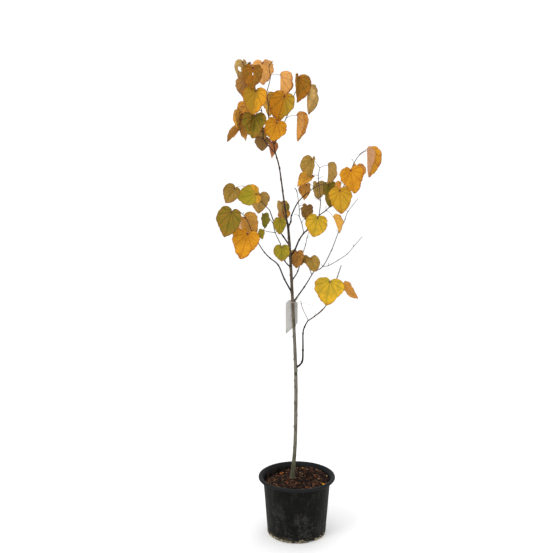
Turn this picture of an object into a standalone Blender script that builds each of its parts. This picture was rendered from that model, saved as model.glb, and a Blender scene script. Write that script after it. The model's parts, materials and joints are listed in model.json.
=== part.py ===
# Young redbud tree in a nursery pot, in autumn leaf.
# Metres, +Z up, the front towards -Y. The origin is the centre of the pot's flat underside.
# Limbs are chains of runs: one run is the length of wood between two buds.

import math
import random
from collections import namedtuple

import bmesh
import bpy
from mathutils import Matrix, Vector, noise
from mathutils.bvhtree import BVHTree

MM = 0.001
GAP = 0.3 * MM              # clear space between pieces that touch
SEED = 23

# Pot, a nursery pot of about 15 litres
POT_HEIGHT = 247 * MM
POT_BASE_RADIUS = 122 * MM
POT_SHOULDER_RADIUS = 140 * MM
POT_WALL = 2.2 * MM
POT_FLOOR = 4 * MM
POT_CORNER = 6 * MM         # chamfer round the underside
LIP_RADIUS = 160 * MM
LIP_HEIGHT = 13 * MM
LIP_MOUTH_RADIUS = 144 * MM
POT_STEPS = 56
NOTCH_COUNT = 4
NOTCH_FIRST_HEADING = 299   # degrees from +X
NOTCH_WIDTH = 30 * MM
NOTCH_HEIGHT = 15 * MM
NOTCH_DEPTH = 14 * MM

# Potting mix
MIX_LEVEL = 220 * MM        # at the trunk's foot, where the surface is level
MIX_RISE = 9 * MM           # from the middle to the highest edge, at the back right
MIX_RISE_HEADING = 55
MIX_BUMP = 3 * MM
MIX_RINGS = 11
SEAT_RADIUS = 27 * MM

# Wood
TRUNK_FOOT = Vector((-19 * MM, 30 * MM, MIX_LEVEL + GAP))
TRUNK_FLARE = 4.5           # millimetres of extra radius at the soil
TRUNK_FLARE_FADE = 26 * MM
TRUNK_GIRTH = (             # height above the pot's underside, radius in millimetres
    (0.22, 8.6), (0.36, 7.6), (0.60, 7.5), (0.95, 6.3), (1.25, 5.3), (1.33, 3.7), (1.63, 2.3),
)
COLLAR = 0.9                # millimetres of extra radius where a bough leaves the trunk
COLLAR_FADE = 9 * MM
TRUNK_SAMPLES = 4           # points to a run along each kind of limb
BOUGH_SAMPLES = 3
TWIG_SAMPLES = 2
TWIG_RADII = (1.1, 0.8)     # millimetres, foot and tip of a side twig
SPUR_LENGTH = (9 * MM, 22 * MM)
SPUR_RADIUS = 0.9           # millimetres
SPUR_CHANCE = 0.55

# Leaves: a heart-shaped blade hangs from a stalk
STALK_RATIO = 0.42          # stalk length to blade width
STALK_RADIUS = 1.0          # millimetres
STALK_SUNK = 6 * MM         # length of the stalk's end inside the blade
LEAF_POINTS = 16            # points round the outline
LEAF_THICKNESS = 0.013      # of the blade's width
LEAF_WIDTH_UNITS = 1.45     # width of the outline formula's blade
LEAF_FULLNESS = 0.62
LEAF_TIP = 0.24
LEAF_TIP_SPREAD = 0.42      # radians
LEAF_HEART = 0.42           # where the blade's middle point sits on the midrib

Limb = namedtuple("Limb", "parent place heading runs foot tip")
Twig = namedtuple("Twig", "place heading runs leaves")
Mass = namedtuple("Mass", "stem leaves twigs colour")

# Each run is (length in millimetres, rise in degrees, heading in degrees where it changes).
TRUNK_RUNS = (
    (150, 85, 330), (145, 89, 340), (135, 90, 0), (150, 88, 190), (155, 87, 190), (170, 87, 190),
    (150, 86, 190), (45, 80, 180), (90, 82, 180), (115, 82, 180), (60, 75, 180), (55, 78, 175),
)

# place is a height on the trunk, or a number of runs along another limb; None is its tip
BOUGHS = {
    "bough_low_right": Limb("trunk", 0.700, 325, (
        (45, 45), (50, 85), (70, 90), (30, 75), (30, 60)), 3.0, 1.6),
    "bough_bare_right": Limb("trunk", 0.975, 25, ((80, 50), (75, 55)), 2.6, 1.6),
    "bough_left": Limb("trunk", 1.015, 205, (
        (70, 60), (65, 65), (45, 40), (35, 45), (45, 55)), 2.9, 1.5),
    "bough_back": Limb("trunk", 1.065, 72, ((85, 20), (85, 45)), 2.3, 1.4),
    "bough_front_left": Limb("trunk", 1.120, 240, ((60, 35), (50, 65), (30, 65)), 2.3, 1.5),
    "bough_right": Limb("trunk", 1.165, 335, (
        (35, 55), (45, 65), (35, 55), (20, 40), (40, 50), (30, 50), (15, 45)), 3.0, 1.7),
    "bough_upper_left": Limb("trunk", 1.210, 150, ((45, 50), (60, 50), (65, 65)), 2.5, 1.5),
    "bough_upper_right": Limb("trunk", 1.285, 45, (
        (25, 60, 30), (25, 80, 45), (60, 55), (60, 35)), 2.5, 1.5),
}

# A leaf is (place, heading and rise of its stalk, blade width in millimetres, then
# the heading its face looks to, upward tilt of the face, clockwise lean of the tip, fold).
MASSES = {
    "foliage_low_right": Mass(
        Limb("bough_low_right", None, 325, (
            (40, 35), (45, 40), (40, 50), (65, 65), (55, 70), (50, 70)), 1.6, 0.9),
        ((4.5, 240, 15, 112, 272, 10, 10, 8), (4.5, 350, -18, 90, 320, 15, -38, 14)),
        (Twig(0.1, 150, ((55, 60), (30, 75)), ()),),
        (0.62, 0.52, 0.10)),
    "foliage_left": Mass(
        Limb("bough_left", None, 205, ((50, 60), (55, 65), (30, 55), (30, 40)), 1.5, 0.9),
        ((0.75, 240, 15, 112, 265, 10, 16, 8), (2.5, 90, 10, 86, 80, 12, 35, 12),
         (3.75, 230, 5, 107, 250, 8, 14, 10), (2.5, 170, -30, 60, 110, 15, -10, 15)),
        (),
        (0.68, 0.42, 0.08)),
    "foliage_inner_right": Mass(
        Limb("bough_bare_right", 1.8, 200, ((40, 65), (35, 45), (25, 40)), 1.3, 0.9),
        ((2.25, 180, 50, 66, 250, 12, 0, 12), (1.75, 20, 20, 78, 285, 35, -12, 10)),
        (),
        (0.40, 0.30, 0.10)),
    "twigs_bare_right": Mass(
        Limb("bough_bare_right", None, 25, (
            (45, 25), (80, 50, 45), (85, 60), (50, 50), (50, 60), (80, 40)), 1.6, 0.8),
        (),
        (Twig(1, 0, ((25, 10), (45, 30), (45, 35), (40, 50), (50, 50)), ()),),
        (0.17, 0.12, 0.10)),
    "twigs_back": Mass(
        Limb("bough_back", None, 72, ((60, 40), (30, 55), (30, 45)), 1.5, 0.8),
        (),
        (),
        (0.17, 0.12, 0.10)),
    "foliage_right_outer": Mass(
        Limb("bough_right", None, 335, (
            (30, 35), (35, 45), (40, 50), (40, 60), (55, 65), (50, 65), (40, 55), (30, 35)),
            1.7, 0.9),
        ((0.25, 240, -25, 87, 272, 10, 12, 8), (1.0, 340, -40, 86, 0, 22, 0, 58),
         (3.25, 270, 25, 98, 270, 8, -4, 8), (4.25, 160, 25, 44, 215, 5, 0, 25),
         (5.25, 270, 10, 98, 280, 10, -8, 10), (5.75, 20, 15, 66, 50, 10, 0, 20),
         (6.75, 320, 25, 112, 355, 5, 0, 60)),
        (),
        (0.72, 0.46, 0.07)),
    "foliage_right_tall": Mass(
        Limb("bough_right", 6.5, 60, ((60, 80), (95, 60, 100), (45, 75, 60)), 1.4, 0.9),
        ((3.0, 190, 40, 92, 220, 8, 5, 22), (2.25, 170, 5, 80, 262, 38, 42, 32),
         (3.0, 10, 15, 85, 358, 4, 0, 60)),
        (),
        (0.50, 0.42, 0.10)),
    "foliage_right_middle": Mass(
        Limb("bough_right", 3, 250, (
            (50, 60), (40, 45), (25, 90, 320), (75, 70, 250), (30, 35)), 1.4, 0.8),
        ((3.25, 20, 5, 62, 285, 8, 10, 15),),
        (),
        (0.24, 0.24, 0.08)),
    "foliage_upper_right": Mass(
        Limb("bough_upper_right", None, 45, ((55, 25), (30, 15), (30, 15)), 1.5, 0.9),
        ((0.5, 150, 45, 68, 240, 10, 5, 20), (2.0, 100, 10, 72, 300, 8, 0, 28),
         (2.5, 320, 0, 92, 312, 8, -5, 15)),
        (),
        (0.45, 0.32, 0.10)),
    "foliage_upper_left": Mass(
        Limb("bough_upper_left", None, 150, ((50, 40), (35, 50), (35, 50), (45, 10)), 1.5, 0.9),
        ((1.75, 260, 35, 86, 278, 18, 55, 10), (1.5, 90, 25, 82, 85, 12, 10, 12),
         (4.0, 190, 0, 76, 255, 8, 25, 15)),
        (),
        (0.55, 0.40, 0.10)),
    "foliage_front_left": Mass(
        Limb("bough_front_left", None, 240, ((60, 50), (45, 65), (25, 35)), 1.5, 0.8),
        ((0.25, 320, -60, 65, 275, 10, 0, 10), (3.0, 200, 50, 60, 312, 5, 0, 25)),
        (Twig(1, 200, ((35, 10),), ((1.0, 190, 30, 40, 225, 8, 0, 20),)),),
        (0.40, 0.42, 0.08)),
    "foliage_trunk_top": Mass(
        Limb("trunk", 1.300, 120, ((45, 50), (30, 75)), 1.4, 0.9),
        ((0.5, 210, -10, 58, 258, 10, 5, 10), (2.0, 30, 20, 34, 340, 8, 0, 30),
         (2.0, 110, 35, 62, 60, 10, 0, 20), (1.25, 40, 10, 34, 70, 5, 0, 15),
         (1.0, 100, 15, 44, 95, 15, 0, 15)),
        (),
        (0.42, 0.36, 0.10)),
    "foliage_top_left": Mass(
        Limb("trunk", 1.575, 215, (
            (75, 45), (35, 80), (80, 85), (70, 70), (65, 80), (40, 90)), 1.9, 0.9),
        ((5.25, 270, 25, 92, 264, 12, 2, 10), (4.0, 270, 10, 100, 270, 8, 8, 6),
         (2.75, 230, 0, 98, 262, 12, 5, 8), (6.0, 180, 15, 82, 148, 6, 8, 12),
         (6.0, 160, 30, 40, 200, 10, 0, 20), (4.75, 180, 0, 82, 142, 8, 0, 15),
         (2.0, 130, 15, 62, 80, 15, 0, 15), (1.0, 110, 15, 62, 100, 15, 0, 10)),
        (Twig(3, 190, ((45, 15), (35, 5)), (
            (1.0, 130, 25, 76, 80, 12, -5, 10), (1.75, 200, -30, 78, 192, 8, 0, 35),
            (1.5, 230, -55, 104, 225, 12, 5, 35))),
         Twig(2, 170, ((45, 15), (40, 20)), ((2.0, 190, -30, 66, 240, 20, 40, 40),))),
        (0.66, 0.42, 0.07)),
    "foliage_top_centre": Mass(
        Limb("trunk", None, 150, (
            (35, 75), (65, 80), (40, 90), (40, 80), (60, 75, 30), (50, 80, 120), (25, 50, 20)),
            2.0, 0.9),
        ((1.25, 320, 25, 95, 285, 22, 24, 8), (3.5, 90, 25, 90, 45, 10, 0, 20),
         (5.25, 20, 0, 105, 3, 2, 0, 66), (6.25, 140, 10, 94, 92, 5, 4, 20)),
        (),
        (0.74, 0.48, 0.10)),
    "foliage_top_right": Mass(
        Limb("trunk", 1.610, 25, ((45, 60), (75, 65), (55, 65), (40, 75), (30, 60)), 1.8, 0.9),
        ((3.5, 220, 15, 108, 250, 8, 16, 8), (4.75, 300, 60, 110, 312, 4, 6, 35),
         (4.5, 10, 15, 116, 340, 1, 0, 60), (2.0, 20, 10, 112, 338, 1, 0, 60),
         (0.25, 100, 0, 72, 45, 6, 0, 20)),
        (),
        (0.70, 0.44, 0.09)),
}


def clear_scene():
    for obj in list(bpy.data.objects):
        bpy.data.objects.remove(obj, do_unlink=True)


def new_collection(name):
    found = bpy.data.collections.new(name)
    bpy.context.scene.collection.children.link(found)
    return found


def new_material(name, colour, roughness):
    made = bpy.data.materials.new(name)
    made.use_nodes = True
    shader = made.node_tree.nodes["Principled BSDF"]
    shader.inputs["Base Color"].default_value = (*colour, 1.0)
    shader.inputs["Roughness"].default_value = roughness
    shader.inputs["Metallic"].default_value = 0.0
    return made


def add_object(name, data, collection):
    made = bpy.data.objects.new(name, data)
    collection.objects.link(made)
    return made


def settle(obj):
    """Applies an object's modifiers to its mesh."""
    bpy.context.view_layer.update()
    graph = bpy.context.evaluated_depsgraph_get()
    done = bpy.data.meshes.new_from_object(obj.evaluated_get(graph))
    spent = obj.data
    obj.modifiers.clear()
    obj.data = done
    bpy.data.meshes.remove(spent)


def discard(objects):
    for obj in list(objects):
        spent = obj.data
        bpy.data.objects.remove(obj, do_unlink=True)
        if spent.users == 0:
            bpy.data.meshes.remove(spent)


def direction(heading, rise):
    turn, lift = math.radians(heading), math.radians(rise)
    return Vector((math.cos(lift) * math.cos(turn), math.cos(lift) * math.sin(turn), math.sin(lift)))


def chain(start, heading, runs):
    """Bud points of a limb: each run adds its length along its heading and rise."""
    points = [start.copy()]
    for run in runs:
        heading = run[2] if len(run) > 2 else heading
        points.append(points[-1] + direction(heading, run[1]) * run[0] * MM)
    return points


def along(buds, place):
    """Point at a place, in runs, on the smooth curve through a limb's buds."""
    count = len(buds) - 1
    run = min(int(place), count - 1)
    t = place - run
    before = buds[run - 1] if run else buds[0] * 2 - buds[1]
    after = buds[run + 2] if run + 2 <= count else buds[count] * 2 - buds[count - 1]
    a, b, c, d = before, buds[run], buds[run + 1], after
    return 0.5 * (2 * b + (c - a) * t + (2 * a - 5 * b + 4 * c - d) * t ** 2
                  + (3 * b - a - 3 * c + d) * t ** 3)


def smooth_path(buds, samples):
    steps = (len(buds) - 1) * samples
    return [along(buds, i / samples) for i in range(steps + 1)]


def on_path(path, samples, place):
    """Point on a faceted limb's own centre line at a place, in runs."""
    step = min(int(place * samples), len(path) - 2)
    return path[step].lerp(path[step + 1], place * samples - step)


def tapered(path, foot, tip, collar=0.0):
    """Radii in millimetres down a path, even taper plus a collar that fades from the foot."""
    lengths = [0.0]
    for a, b in zip(path, path[1:]):
        lengths.append(lengths[-1] + (b - a).length)
    return [foot + (tip - foot) * s / lengths[-1] + collar * math.exp(-s / COLLAR_FADE)
            for s in lengths]


def girth(height):
    """Trunk radius in millimetres at a height, with the flare at the soil."""
    flare = TRUNK_FLARE * math.exp((MIX_LEVEL - height) / TRUNK_FLARE_FADE)
    for (low, wide), (high, slim) in zip(TRUNK_GIRTH, TRUNK_GIRTH[1:]):
        if height <= high:
            share = max(0.0, (height - low) / (high - low))
            return wide + (slim - wide) * share + flare
    return TRUNK_GIRTH[-1][1]


def tube(name, path, radii, resolution, collection):
    """Closed mesh tube: a bevelled POLY curve made a mesh, with its caps welded on."""
    curve = bpy.data.curves.new(name, "CURVE")
    curve.dimensions = "3D"
    curve.bevel_depth = MM
    curve.bevel_resolution = resolution
    curve.use_fill_caps = True
    spline = curve.splines.new("POLY")
    spline.points.add(len(path) - 1)
    for point, place, radius in zip(spline.points, path, radii):
        point.co = (*(place - path[0]), 1.0)
        point.radius = radius
    source = add_object(name + "_curve", curve, collection)
    source.location = path[0]
    bpy.context.view_layer.update()
    graph = bpy.context.evaluated_depsgraph_get()
    mesh = bpy.data.meshes.new_from_object(source.evaluated_get(graph))
    made = add_object(name, mesh, collection)
    made.matrix_world = source.matrix_world.copy()
    bpy.data.objects.remove(source, do_unlink=True)
    bpy.data.curves.remove(curve)
    bm = bmesh.new()
    bm.from_mesh(mesh)
    bmesh.ops.remove_doubles(bm, verts=bm.verts, dist=0.01 * MM)
    bmesh.ops.recalc_face_normals(bm, faces=bm.faces)
    bm.to_mesh(mesh)
    bm.free()
    return made


def turned(name, profile, steps, collection):
    """Solid of revolution: (radius, height) points from the top down the outer side."""
    mesh = bpy.data.meshes.new(name)
    bm = bmesh.new()
    verts = [bm.verts.new((radius, 0, height)) for radius, height in profile]
    for a, b in zip(verts, verts[1:]):
        bm.edges.new((a, b))
    bm.to_mesh(mesh)
    bm.free()
    made = add_object(name, mesh, collection)
    screw = made.modifiers.new("turn", "SCREW")
    screw.steps = steps
    screw.render_steps = steps
    screw.use_merge_vertices = True
    screw.merge_threshold = 0.01 * MM
    settle(made)
    return made


def boolean(obj, operation, other=None, group=None, solver="EXACT"):
    modifier = obj.modifiers.new(operation.lower(), "BOOLEAN")
    modifier.operation = operation
    modifier.solver = solver
    if group:
        modifier.operand_type = "COLLECTION"
        modifier.collection = group
    else:
        modifier.object = other
    settle(obj)


def keep_main_body(obj):
    """Drops loose scraps and fills sealed hollows: only the largest shell stays."""
    bm = bmesh.new()
    bm.from_mesh(obj.data)
    bmesh.ops.remove_doubles(bm, verts=bm.verts, dist=0.005 * MM)
    bmesh.ops.triangulate(bm, faces=bm.faces)
    shells, seen = [], set()
    for first in bm.faces:
        if first in seen:
            continue
        shell, queue = [], [first]
        seen.add(first)
        while queue:
            face = queue.pop()
            shell.append(face)
            for edge in face.edges:
                for nearby in edge.link_faces:
                    if nearby not in seen:
                        seen.add(nearby)
                        queue.append(nearby)
        shells.append(shell)
    shells.sort(key=len)
    spare = [face for shell in shells[:-1] for face in shell]
    bmesh.ops.delete(bm, geom=spare, context="FACES")
    bm.to_mesh(obj.data)
    bm.free()


def tree_of(obj):
    """Search tree of an object's faces in world space."""
    bpy.context.view_layer.update()
    bm = bmesh.new()
    bm.from_mesh(obj.data)
    bm.transform(obj.matrix_world)
    found = BVHTree.FromBMesh(bm)
    bm.free()
    return found


def finish(obj, colour, roughness, smooth_angle=40):
    obj.data.materials.clear()
    obj.data.materials.append(new_material(obj.name, colour, roughness))
    obj.data.shade_smooth()
    obj.data.set_sharp_from_angle(angle=math.radians(smooth_angle))


def inner_radius(height):
    """Inside of the pot's sloping wall at a height."""
    share = height / (POT_HEIGHT - LIP_HEIGHT)
    return POT_BASE_RADIUS + (POT_SHOULDER_RADIUS - POT_BASE_RADIUS) * share - POT_WALL


def make_pot(parts, cutters):
    shoulder = POT_HEIGHT - LIP_HEIGHT
    bead = LIP_HEIGHT / 3
    profile = [
        (0, POT_FLOOR),
        (inner_radius(POT_FLOOR), POT_FLOOR),
        (inner_radius(shoulder), shoulder),
        (LIP_MOUTH_RADIUS, POT_HEIGHT - bead),
        (LIP_MOUTH_RADIUS + bead, POT_HEIGHT),
        (LIP_RADIUS - bead, POT_HEIGHT),
        (LIP_RADIUS, POT_HEIGHT - bead),
        (LIP_RADIUS, POT_HEIGHT - 2 * bead),
        (LIP_RADIUS - bead, shoulder),
        (LIP_MOUTH_RADIUS + POT_WALL, shoulder + POT_WALL),
        (POT_SHOULDER_RADIUS, shoulder - POT_WALL),
        (POT_BASE_RADIUS, POT_CORNER),
        (POT_BASE_RADIUS - POT_CORNER, 0),
        (0, 0),
    ]
    pot = turned("pot", profile, POT_STEPS, parts)
    for i in range(NOTCH_COUNT):
        heading = math.radians(NOTCH_FIRST_HEADING + i * 360 / NOTCH_COUNT)
        mesh = bpy.data.meshes.new("notch")
        bm = bmesh.new()
        bmesh.ops.create_cube(bm, size=1.0)
        bmesh.ops.scale(bm, vec=(NOTCH_DEPTH * 2, NOTCH_WIDTH, NOTCH_HEIGHT * 2), verts=bm.verts)
        bmesh.ops.bevel(bm, geom=[e for e in bm.edges if abs(e.verts[0].co.x - e.verts[1].co.x) > MM],
                        offset=NOTCH_HEIGHT / 2, segments=3, affect="EDGES")
        bm.to_mesh(mesh)
        bm.free()
        notch = add_object("notch", mesh, cutters)
        notch.matrix_world = (Matrix.Rotation(heading, 4, "Z")
                              @ Matrix.Translation((POT_BASE_RADIUS, 0, 0)))
        boolean(pot, "DIFFERENCE", other=notch, solver="MANIFOLD")
        discard([notch])
    keep_main_body(pot)
    finish(pot, (0.018, 0.018, 0.019), 0.55, smooth_angle=30)


def mix_height(x, y):
    """Level of the potting mix: a gentle slope with bumps, flat at the trunk's foot."""
    away = math.hypot(x - TRUNK_FOOT.x, y - TRUNK_FOOT.y)
    if away < SEAT_RADIUS:
        return MIX_LEVEL
    share = min(1.0, (away - SEAT_RADIUS) / SEAT_RADIUS)
    heading = math.radians(MIX_RISE_HEADING)
    slope = (x * math.cos(heading) + y * math.sin(heading)) / POT_SHOULDER_RADIUS
    bump = noise.noise(Vector((x, y, 0)) / (28 * MM))
    return MIX_LEVEL + share * (MIX_RISE * slope + MIX_BUMP * bump)


def make_potting_mix(parts):
    edge = inner_radius(MIX_LEVEL) - GAP
    floor = POT_FLOOR + GAP
    profile = [(edge * i / MIX_RINGS, MIX_LEVEL) for i in range(MIX_RINGS + 1)]
    profile += [(inner_radius(floor) - GAP, floor), (0, floor)]
    mix = turned("potting_mix", profile, POT_STEPS, parts)
    for vert in mix.data.vertices:
        away = math.hypot(vert.co.x, vert.co.y)
        if vert.co.z > MIX_LEVEL - MM:
            vert.co.z = mix_height(vert.co.x, vert.co.y)
            if away > edge - MM:
                reach = (inner_radius(vert.co.z) - GAP) / away
                vert.co.x *= reach
                vert.co.y *= reach
    keep_main_body(mix)
    finish(mix, (0.10, 0.045, 0.028), 0.95)


def make_trunk(parts):
    buds = chain(TRUNK_FOOT, 0, TRUNK_RUNS)
    path = smooth_path(buds, TRUNK_SAMPLES)
    foot = path[0].z
    for share in (0.25, 0.5):
        path.insert(1, path[0].lerp(path[1], share))
    path.sort(key=lambda point: point.z)
    trunk = tube("trunk", path, [girth(point.z) for point in path], 4, parts)
    for vert in trunk.data.vertices:
        if vert.co.z < 2 * MM:
            vert.co.z = foot - trunk.location.z
    finish(trunk, (0.20, 0.18, 0.13), 0.85)
    return path, [girth(point.z) for point in path], 4


def trunk_place(path, height):
    for low, high in zip(path, path[1:]):
        if low.z <= height <= high.z:
            return low.lerp(high, (height - low.z) / (high.z - low.z))
    return path[-1]


def start_of(limb, skeleton):
    """Point on the parent's centre line that a limb springs from."""
    path = skeleton[limb.parent][0]
    if limb.place is None:
        return path[-1]
    if limb.parent == "trunk":
        return trunk_place(path, limb.place)
    return on_path(path, BOUGH_SAMPLES, limb.place)


def cut_clear(obj, limb, skeleton, cutters):
    """Cuts a limb's foot back to a gap round the limb that it springs from."""
    path, radii, resolution = skeleton[limb.parent]
    if limb.place is None:
        path = path[-6:]
        radii = radii[-6:]
        path = path[:-1] + [path[-1] + (path[-1] - path[-2]).normalized() * GAP]
    fat = tube("clearance", path, [radius + GAP / MM for radius in radii], resolution, cutters)
    boolean(obj, "DIFFERENCE", other=fat)
    discard([fat])
    keep_main_body(obj)


def make_bough(name, limb, skeleton, parts, cutters):
    buds = chain(start_of(limb, skeleton), limb.heading, limb.runs)
    path = smooth_path(buds, BOUGH_SAMPLES)
    radii = tapered(path, limb.foot, limb.tip, COLLAR)
    bough = tube(name, path, radii, 2, parts)
    skeleton[name] = (path, radii, 2)
    cut_clear(bough, limb, skeleton, cutters)
    finish(bough, (0.13, 0.10, 0.08), 0.85)


def leaf_outline(theta):
    """Distance from the stalk's notch to the heart-shaped edge, for an angle off the midrib."""
    tip = 1 + LEAF_TIP * math.exp(-(theta / LEAF_TIP_SPREAD) ** 2)
    return max(0.02, ((1 + math.cos(theta)) / 2) ** LEAF_FULLNESS * tip)


def leaf_frame(notch, face, tilt, lean):
    """Place of a blade: x across it, y down its midrib, z out of its face."""
    out = direction(face, tilt)
    down = (Vector((0, 0, -1)) + out * out.z).normalized()
    side = down.cross(out)
    lean = math.radians(lean)
    rib = down * math.cos(lean) + side * math.sin(lean)
    across = rib.cross(out)
    turn = Matrix((across, rib, out)).transposed().to_4x4()
    return Matrix.Translation(notch) @ turn


def shape_blade(across, down, width, fold, cup, curl):
    """Point of a blade folded up along its midrib, cupped, with its tip curled back."""
    unit = width / LEAF_WIDTH_UNITS
    lift = abs(across) * math.sin(fold) + cup * unit * across * across / unit ** 2
    lift -= curl * unit * (down / unit) ** 2
    return Vector((across * math.cos(fold), down, lift))


def make_blade(name, frame, width, fold, cup, curl, collection):
    """Leaf blade: a fan of faces drawn out to the heart shape and given its thickness."""
    mesh = bpy.data.meshes.new(name)
    bm = bmesh.new()
    bmesh.ops.create_circle(bm, cap_ends=True, cap_tris=True, segments=LEAF_POINTS, radius=1.0)
    unit = width / LEAF_WIDTH_UNITS
    for vert in bm.verts:
        if vert.co.length < 0.5:
            across, down = 0.0, LEAF_HEART * unit
        else:
            theta = math.atan2(vert.co.x, vert.co.y)
            reach = leaf_outline(theta) * unit
            across, down = reach * math.sin(theta), reach * math.cos(theta)
        vert.co = shape_blade(across, down, width, fold, cup, curl)
    bmesh.ops.recalc_face_normals(bm, faces=bm.faces)
    bm.to_mesh(mesh)
    bm.free()
    blade = add_object(name, mesh, collection)
    blade.matrix_world = frame
    solidify = blade.modifiers.new("thickness", "SOLIDIFY")
    solidify.thickness = max(1.1 * MM, width * LEAF_THICKNESS)
    solidify.offset = 0.0
    settle(blade)
    return blade


def make_leaf(name, path, leaf, dice, collection):
    """Stalk and blade of one leaf; small turns come from the seeded dice."""
    place, heading, rise, width, face, tilt, lean, fold = leaf
    width *= MM
    cup = dice.uniform(-0.05, 0.12)
    curl = dice.uniform(0.02, 0.08)
    root = on_path(path, TWIG_SAMPLES, place)
    reach = direction(heading, rise) * STALK_RATIO * width
    notch = root + reach
    frame = leaf_frame(notch, face, tilt, lean)
    rib = frame.to_3x3() @ Vector((0, 1, 0))
    arch = Vector((0, 0, 0.10 * reach.length))
    bend = [root, root + reach * 0.5 + arch, notch, notch + rib * STALK_SUNK]
    stalk = tube(name + "_stalk", bend, [STALK_RADIUS] * len(bend), 0, collection)
    blade = make_blade(name + "_blade", frame, width, math.radians(fold), cup, curl, collection)
    return stalk, blade


def make_spurs(name, path, dice, collection):
    """Short bare spurs that stand out on alternate sides of the buds along a twig."""
    for i in range(TWIG_SAMPLES, len(path) - 1, TWIG_SAMPLES):
        chance, turn, lift, size = (dice.random() for _ in range(4))
        if chance > SPUR_CHANCE:
            continue
        way = path[i + 1] - path[i]
        side = 90 if i % (2 * TWIG_SAMPLES) else -90
        heading = math.degrees(math.atan2(way.y, way.x)) + side + 60 * (turn - 0.5)
        reach = SPUR_LENGTH[0] + (SPUR_LENGTH[1] - SPUR_LENGTH[0]) * size
        end = path[i] + direction(heading, 20 + 45 * lift) * reach
        tube("%s_spur_%d" % (name, i), [path[i], end], [SPUR_RADIUS, SPUR_RADIUS * 0.8], 0, collection)


def make_mass(name, mass, skeleton, fixed, parts, cutters):
    """Grows one mass: its stem, side twigs, spurs and leaves, joined by a single union."""
    dice = random.Random(SEED + sum(map(ord, name)))
    path, radii, resolution = skeleton[name]
    stem = tube(name, path, radii, resolution, parts)
    growth = new_collection(name + "_growth")
    shoots = [("stem", path, mass.leaves)]
    for j, twig in enumerate(mass.twigs):
        buds = chain(on_path(path, TWIG_SAMPLES, twig.place), twig.heading, twig.runs)
        twig_path = smooth_path(buds, TWIG_SAMPLES)
        tube("twig_%d" % j, twig_path, tapered(twig_path, *TWIG_RADII), 1, growth)
        shoots.append(("twig_%d" % j, twig_path, twig.leaves))
    grown_leaves = 0
    for shoot, shoot_path, leaves in shoots:
        make_spurs(shoot, shoot_path, dice, growth)
        for j, leaf in enumerate(leaves):
            grown = make_leaf("%s_leaf_%d" % (shoot, j), shoot_path, leaf, dice, growth)
            touched = [other for other, found in fixed.items() if other != name
                       and any(found.overlap(tree_of(piece)) for piece in grown)]
            if touched:
                print(name, shoot, "leaf", j, "skipped, it touches", touched)
                discard(grown)
            else:
                grown_leaves += 1
    if len(growth.objects):
        boolean(stem, "UNION", group=growth)
    discard(growth.objects)
    bpy.data.collections.remove(growth)
    cut_clear(stem, mass.stem, skeleton, cutters)
    finish(stem, mass.colour, 0.75)
    fixed[name] = tree_of(stem)
    print(name, len(stem.data.polygons), "faces,", grown_leaves, "leaves")


def main():
    clear_scene()
    parts = new_collection("redbud_tree")
    cutters = new_collection("cutters")
    make_pot(parts, cutters)
    make_potting_mix(parts)
    skeleton = {"trunk": make_trunk(parts)}
    for name, limb in BOUGHS.items():
        make_bough(name, limb, skeleton, parts, cutters)
    fixed = {obj.name: tree_of(obj) for obj in parts.objects}
    for name, mass in MASSES.items():
        stem = mass.stem
        buds = chain(start_of(stem, skeleton), stem.heading, stem.runs)
        path = smooth_path(buds, TWIG_SAMPLES)
        skeleton[name] = (path, tapered(path, stem.foot, stem.tip), 1)
        probe = tube(name + "_probe", *skeleton[name], cutters)
        fixed[name] = tree_of(probe)
        discard([probe])
    for name, mass in MASSES.items():
        make_mass(name, mass, skeleton, fixed, parts, cutters)
    frame = add_object("redbud", None, parts)
    for obj in parts.objects:
        if obj is not frame:
            obj.parent = frame


main()
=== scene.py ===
import json
import math
import random

import bpy
import numpy as np
from mathutils import Matrix, Vector, noise

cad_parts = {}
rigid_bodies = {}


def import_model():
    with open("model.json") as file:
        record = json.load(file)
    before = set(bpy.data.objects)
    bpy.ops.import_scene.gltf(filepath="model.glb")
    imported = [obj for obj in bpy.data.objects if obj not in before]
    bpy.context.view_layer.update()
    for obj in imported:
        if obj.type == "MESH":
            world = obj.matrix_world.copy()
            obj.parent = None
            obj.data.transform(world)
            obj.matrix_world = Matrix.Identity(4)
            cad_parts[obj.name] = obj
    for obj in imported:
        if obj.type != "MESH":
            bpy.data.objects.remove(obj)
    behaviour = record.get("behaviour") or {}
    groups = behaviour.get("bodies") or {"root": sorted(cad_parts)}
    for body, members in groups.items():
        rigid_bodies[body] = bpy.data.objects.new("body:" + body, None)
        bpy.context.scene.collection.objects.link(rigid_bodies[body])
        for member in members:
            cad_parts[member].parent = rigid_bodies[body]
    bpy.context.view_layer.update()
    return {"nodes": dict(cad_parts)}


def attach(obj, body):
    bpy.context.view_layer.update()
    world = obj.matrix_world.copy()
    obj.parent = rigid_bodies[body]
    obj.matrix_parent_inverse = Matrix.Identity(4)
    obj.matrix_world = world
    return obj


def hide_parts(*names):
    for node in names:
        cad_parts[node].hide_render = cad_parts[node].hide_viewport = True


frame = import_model()
bpy.context.scene.view_settings.view_transform = "Standard"
mm = 0.001
seed = 23                        # grows the same spurs and leaf curls as the solids have
print("frame loaded,", len(frame["nodes"]), "nodes")


# Object tools

def deselectAll():
    bpy.ops.object.select_all(action="DESELECT")


def activate(piece):
    deselectAll()
    piece.select_set(True)
    bpy.context.view_layer.objects.active = piece


def nameAdded(name):
    piece = bpy.context.object
    piece.name = name
    piece.data.name = name
    return piece


def applyModifiers(piece):
    activate(piece)
    for modifier in list(piece.modifiers):
        bpy.ops.object.modifier_apply(modifier=modifier.name)


def settlePlace(piece):
    activate(piece)
    bpy.ops.object.transform_apply(location=True, rotation=True, scale=True)


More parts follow.
